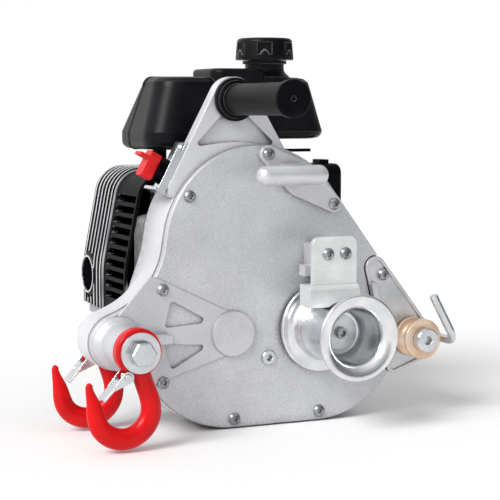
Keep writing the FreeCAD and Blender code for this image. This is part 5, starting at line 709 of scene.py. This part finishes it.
# %% Wire cloth
# real cloth has a wire about every millimetre; this scale sets the bands 4 mm apart so that they show
WEAVE_SCALE = per_mm(9)
wire_cloth, tree, shader, place, eased = new_finish("woven_wire_cloth")
weave = add(tree, "ShaderNodeTexWave",
            {"Scale": WEAVE_SCALE, "Distortion": 0.0, "bands_direction": "DIAGONAL"}, Vector=place)
wires = add(tree, "ShaderNodeValToRGB", {"stops": [(0.3, "#0a0a0b"), (0.8, "#2b2b2d")]},
            _0=weave.outputs["Fac"])
tree.links.new(wires.outputs[0], shader.inputs["Base Color"])
relief = add(tree, "ShaderNodeBump", {"Strength": 0.3, "Distance": 0.0002},
             Height=weave.outputs["Fac"], Normal=eased)
tree.links.new(relief.outputs[0], shader.inputs["Normal"])
shader.inputs["Roughness"].default_value = 0.6
shader.inputs["Specular IOR Level"].default_value = 0.1
print("screen finish", wire_cloth.name)

# %% [markdown]
# ## Debris screen behind the starter's slots
#
# The cloth is cut to a flat ring round the starter. A disc with a hole would do, but a sheet
# without thickness has no inside and no outside. So a narrow rectangle is spun round the
# starter's axis into a thin closed ring.

# %% Debris screen behind the starter's slots
SCREEN_INNER = 0.020
SCREEN_OUTER = 0.056
SCREEN_SET_BACK = 0.0045
SCREEN_THICKNESS = 0.0006
SCREEN_STEPS = 72
axis_x, axis_z = joint_at["crank_spin"][0], joint_at["crank_spin"][2]
screen_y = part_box("starter_cover")[1].y - SCREEN_SET_BACK
inner_y = screen_y - SCREEN_THICKNESS
shape = bmesh.new()
section = []
for reach, y in ((SCREEN_INNER, screen_y), (SCREEN_OUTER, screen_y),
                 (SCREEN_OUTER, inner_y), (SCREEN_INNER, inner_y)):
    section.append(shape.verts.new((axis_x + reach, y, axis_z)))
sides = [shape.edges.new(pair) for pair in zip(section, section[1:] + section[:1])]
bmesh.ops.spin(shape, geom=section + sides, cent=(axis_x, 0, axis_z), axis=(0, 1, 0), angle=math.tau,
               steps=SCREEN_STEPS, use_merge=True)
bmesh.ops.recalc_face_normals(shape, faces=shape.faces)
screen_mesh = bpy.data.meshes.new("starter_screen")
shape.to_mesh(screen_mesh)
shape.free()
screen_mesh.materials.append(wire_cloth)
starter_screen = bpy.data.objects.new("starter_screen", screen_mesh)
scene.collection.objects.link(starter_screen)
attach(starter_screen, "frame")
print("screen of", len(screen_mesh.polygons), "faces at y", round(screen_y * 1000, 1), "mm")

# %% [markdown]
# ## Camera
#
# The photo was fitted before modelling: the camera stands in front and to the left, a little
# above the drum, with a long lens. A long lens from far away keeps the round parts round.

# %% Camera
eye = Vector((-0.5637, -1.3005, 0.2979))
target = Vector((0.0, -0.0345, 0.167))
camera_data = bpy.data.cameras.new("catalogue_camera")
camera_data.lens = 108
camera_data.sensor_width = 36
camera = bpy.data.objects.new("catalogue_camera", camera_data)
scene.collection.objects.link(camera)
camera.location = eye
camera.rotation_euler = (target - eye).to_track_quat("-Z", "Y").to_euler()
scene.camera = camera
print("camera", round((target - eye).length, 2), "m away")

# %% [markdown]
# ## Floor
#
# A catalogue picture stands on endless white paper. A very large pale sheet does that, and it
# still catches the soft shadow that tells the eye where the winch stands. Paper has a faint
# tooth, so even the floor gets a little noise in its tone.

# %% Floor
FLOOR_REACH = 40
corners = [(FLOOR_REACH * x, FLOOR_REACH * y, 0) for x, y in ((-1, -1), (1, -1), (1, 1), (-1, 1))]
floor_mesh = bpy.data.meshes.new("floor")
floor_mesh.from_pydata(corners, [], [(0, 1, 2, 3)])
floor = bpy.data.objects.new("floor", floor_mesh)
scene.collection.objects.link(floor)
floor.location.z = cad_low.z
floor_finish, tree, shader, place, _ = new_finish("white_background_paper")
tooth = add(tree, "ShaderNodeTexNoise", {"Scale": per_mm(6), "Detail": 2.0}, Vector=place)
sheet = add(tree, "ShaderNodeValToRGB", {"stops": [(0.3, "#f5f5f5"), (0.7, "#f8f8f8")]},
            _0=tooth.outputs["Fac"])
tree.links.new(sheet.outputs[0], shader.inputs["Base Color"])
shader.inputs["Roughness"].default_value = 0.95
shader.inputs["Specular IOR Level"].default_value = 0.0
floor_mesh.materials.append(floor_finish)
print("floor at", round(floor.location.z, 4))

# %% [markdown]
# ## Room
#
# Metal looks like metal only when it has something to mirror. The room answers three kinds of
# ray in three ways: the camera sees plain white, matt surfaces get an even soft light, and
# glossy surfaces see a studio that is bright at the back left and dark at the front right.

# %% Room
SOFT_LIGHT = 0.6
MIRRORED_LIGHT = 1.05
BRIGHT_SIDE = Vector((-0.75, 0.3, 0.6)).normalized()
WALLS = [(0.0, "#1c1c1e"), (0.3, "#858688"), (0.55, "#c9cacb"), (0.8, "#ffffff")]
world = bpy.data.worlds.new("studio")
scene.world = world
world.use_nodes = True
tree = world.node_tree
soft = tree.nodes["Background"]
soft.inputs["Color"].default_value = tone("#ffffff")
soft.inputs["Strength"].default_value = SOFT_LIGHT
towards = add(tree, "ShaderNodeTexCoord").outputs["Generated"]
facing = add(tree, "ShaderNodeVectorMath", {"operation": "DOT_PRODUCT", 1: tuple(BRIGHT_SIDE)}, _0=towards)
spread = add(tree, "ShaderNodeMapRange", {"From Min": -1.0, "From Max": 1.0}, Value=facing.outputs["Value"])
walls = add(tree, "ShaderNodeValToRGB", {"stops": WALLS}, _0=spread.outputs[0])
mirrored = add(tree, "ShaderNodeBackground", {"Strength": MIRRORED_LIGHT}, Color=walls.outputs[0])
paper = add(tree, "ShaderNodeBackground", {"Color": tone("#ffffff"), "Strength": 1.0})
path = add(tree, "ShaderNodeLightPath")
for_gloss = add(tree, "ShaderNodeMixShader", _0=path.outputs["Is Glossy Ray"], _1=soft.outputs[0],
                _2=mirrored.outputs[0])
for_camera = add(tree, "ShaderNodeMixShader", _0=path.outputs["Is Camera Ray"], _1=for_gloss.outputs[0],
                 _2=paper.outputs[0])
tree.links.new(for_camera.outputs[0], tree.nodes["World Output"].inputs["Surface"])
print("room light", SOFT_LIGHT, "and in reflections", MIRRORED_LIGHT)

# %% [markdown]
# ## Sun
#
# One wide soft sun from the left makes the shadow and lights the case wall. A sun that is seen
# under a wide angle has the soft edge of a studio lamp behind cloth. The Standard view shows each
# colour about as it is written.

# %% Sun
SUN_ENERGY = 2.6
SUN_WIDTH = math.radians(28)
SUN_DIRECTION = Vector((0.72, 0.36, -0.62))
sun_data = bpy.data.lights.new("soft_sun", "SUN")
sun_data.energy = SUN_ENERGY
sun_data.angle = SUN_WIDTH
sun = bpy.data.objects.new("soft_sun", sun_data)
scene.collection.objects.link(sun)
sun.rotation_euler = SUN_DIRECTION.to_track_quat("-Z", "Y").to_euler()
scene.view_settings.view_transform = "Standard"
print("sun", SUN_ENERGY, "towards", [round(v, 2) for v in SUN_DIRECTION])
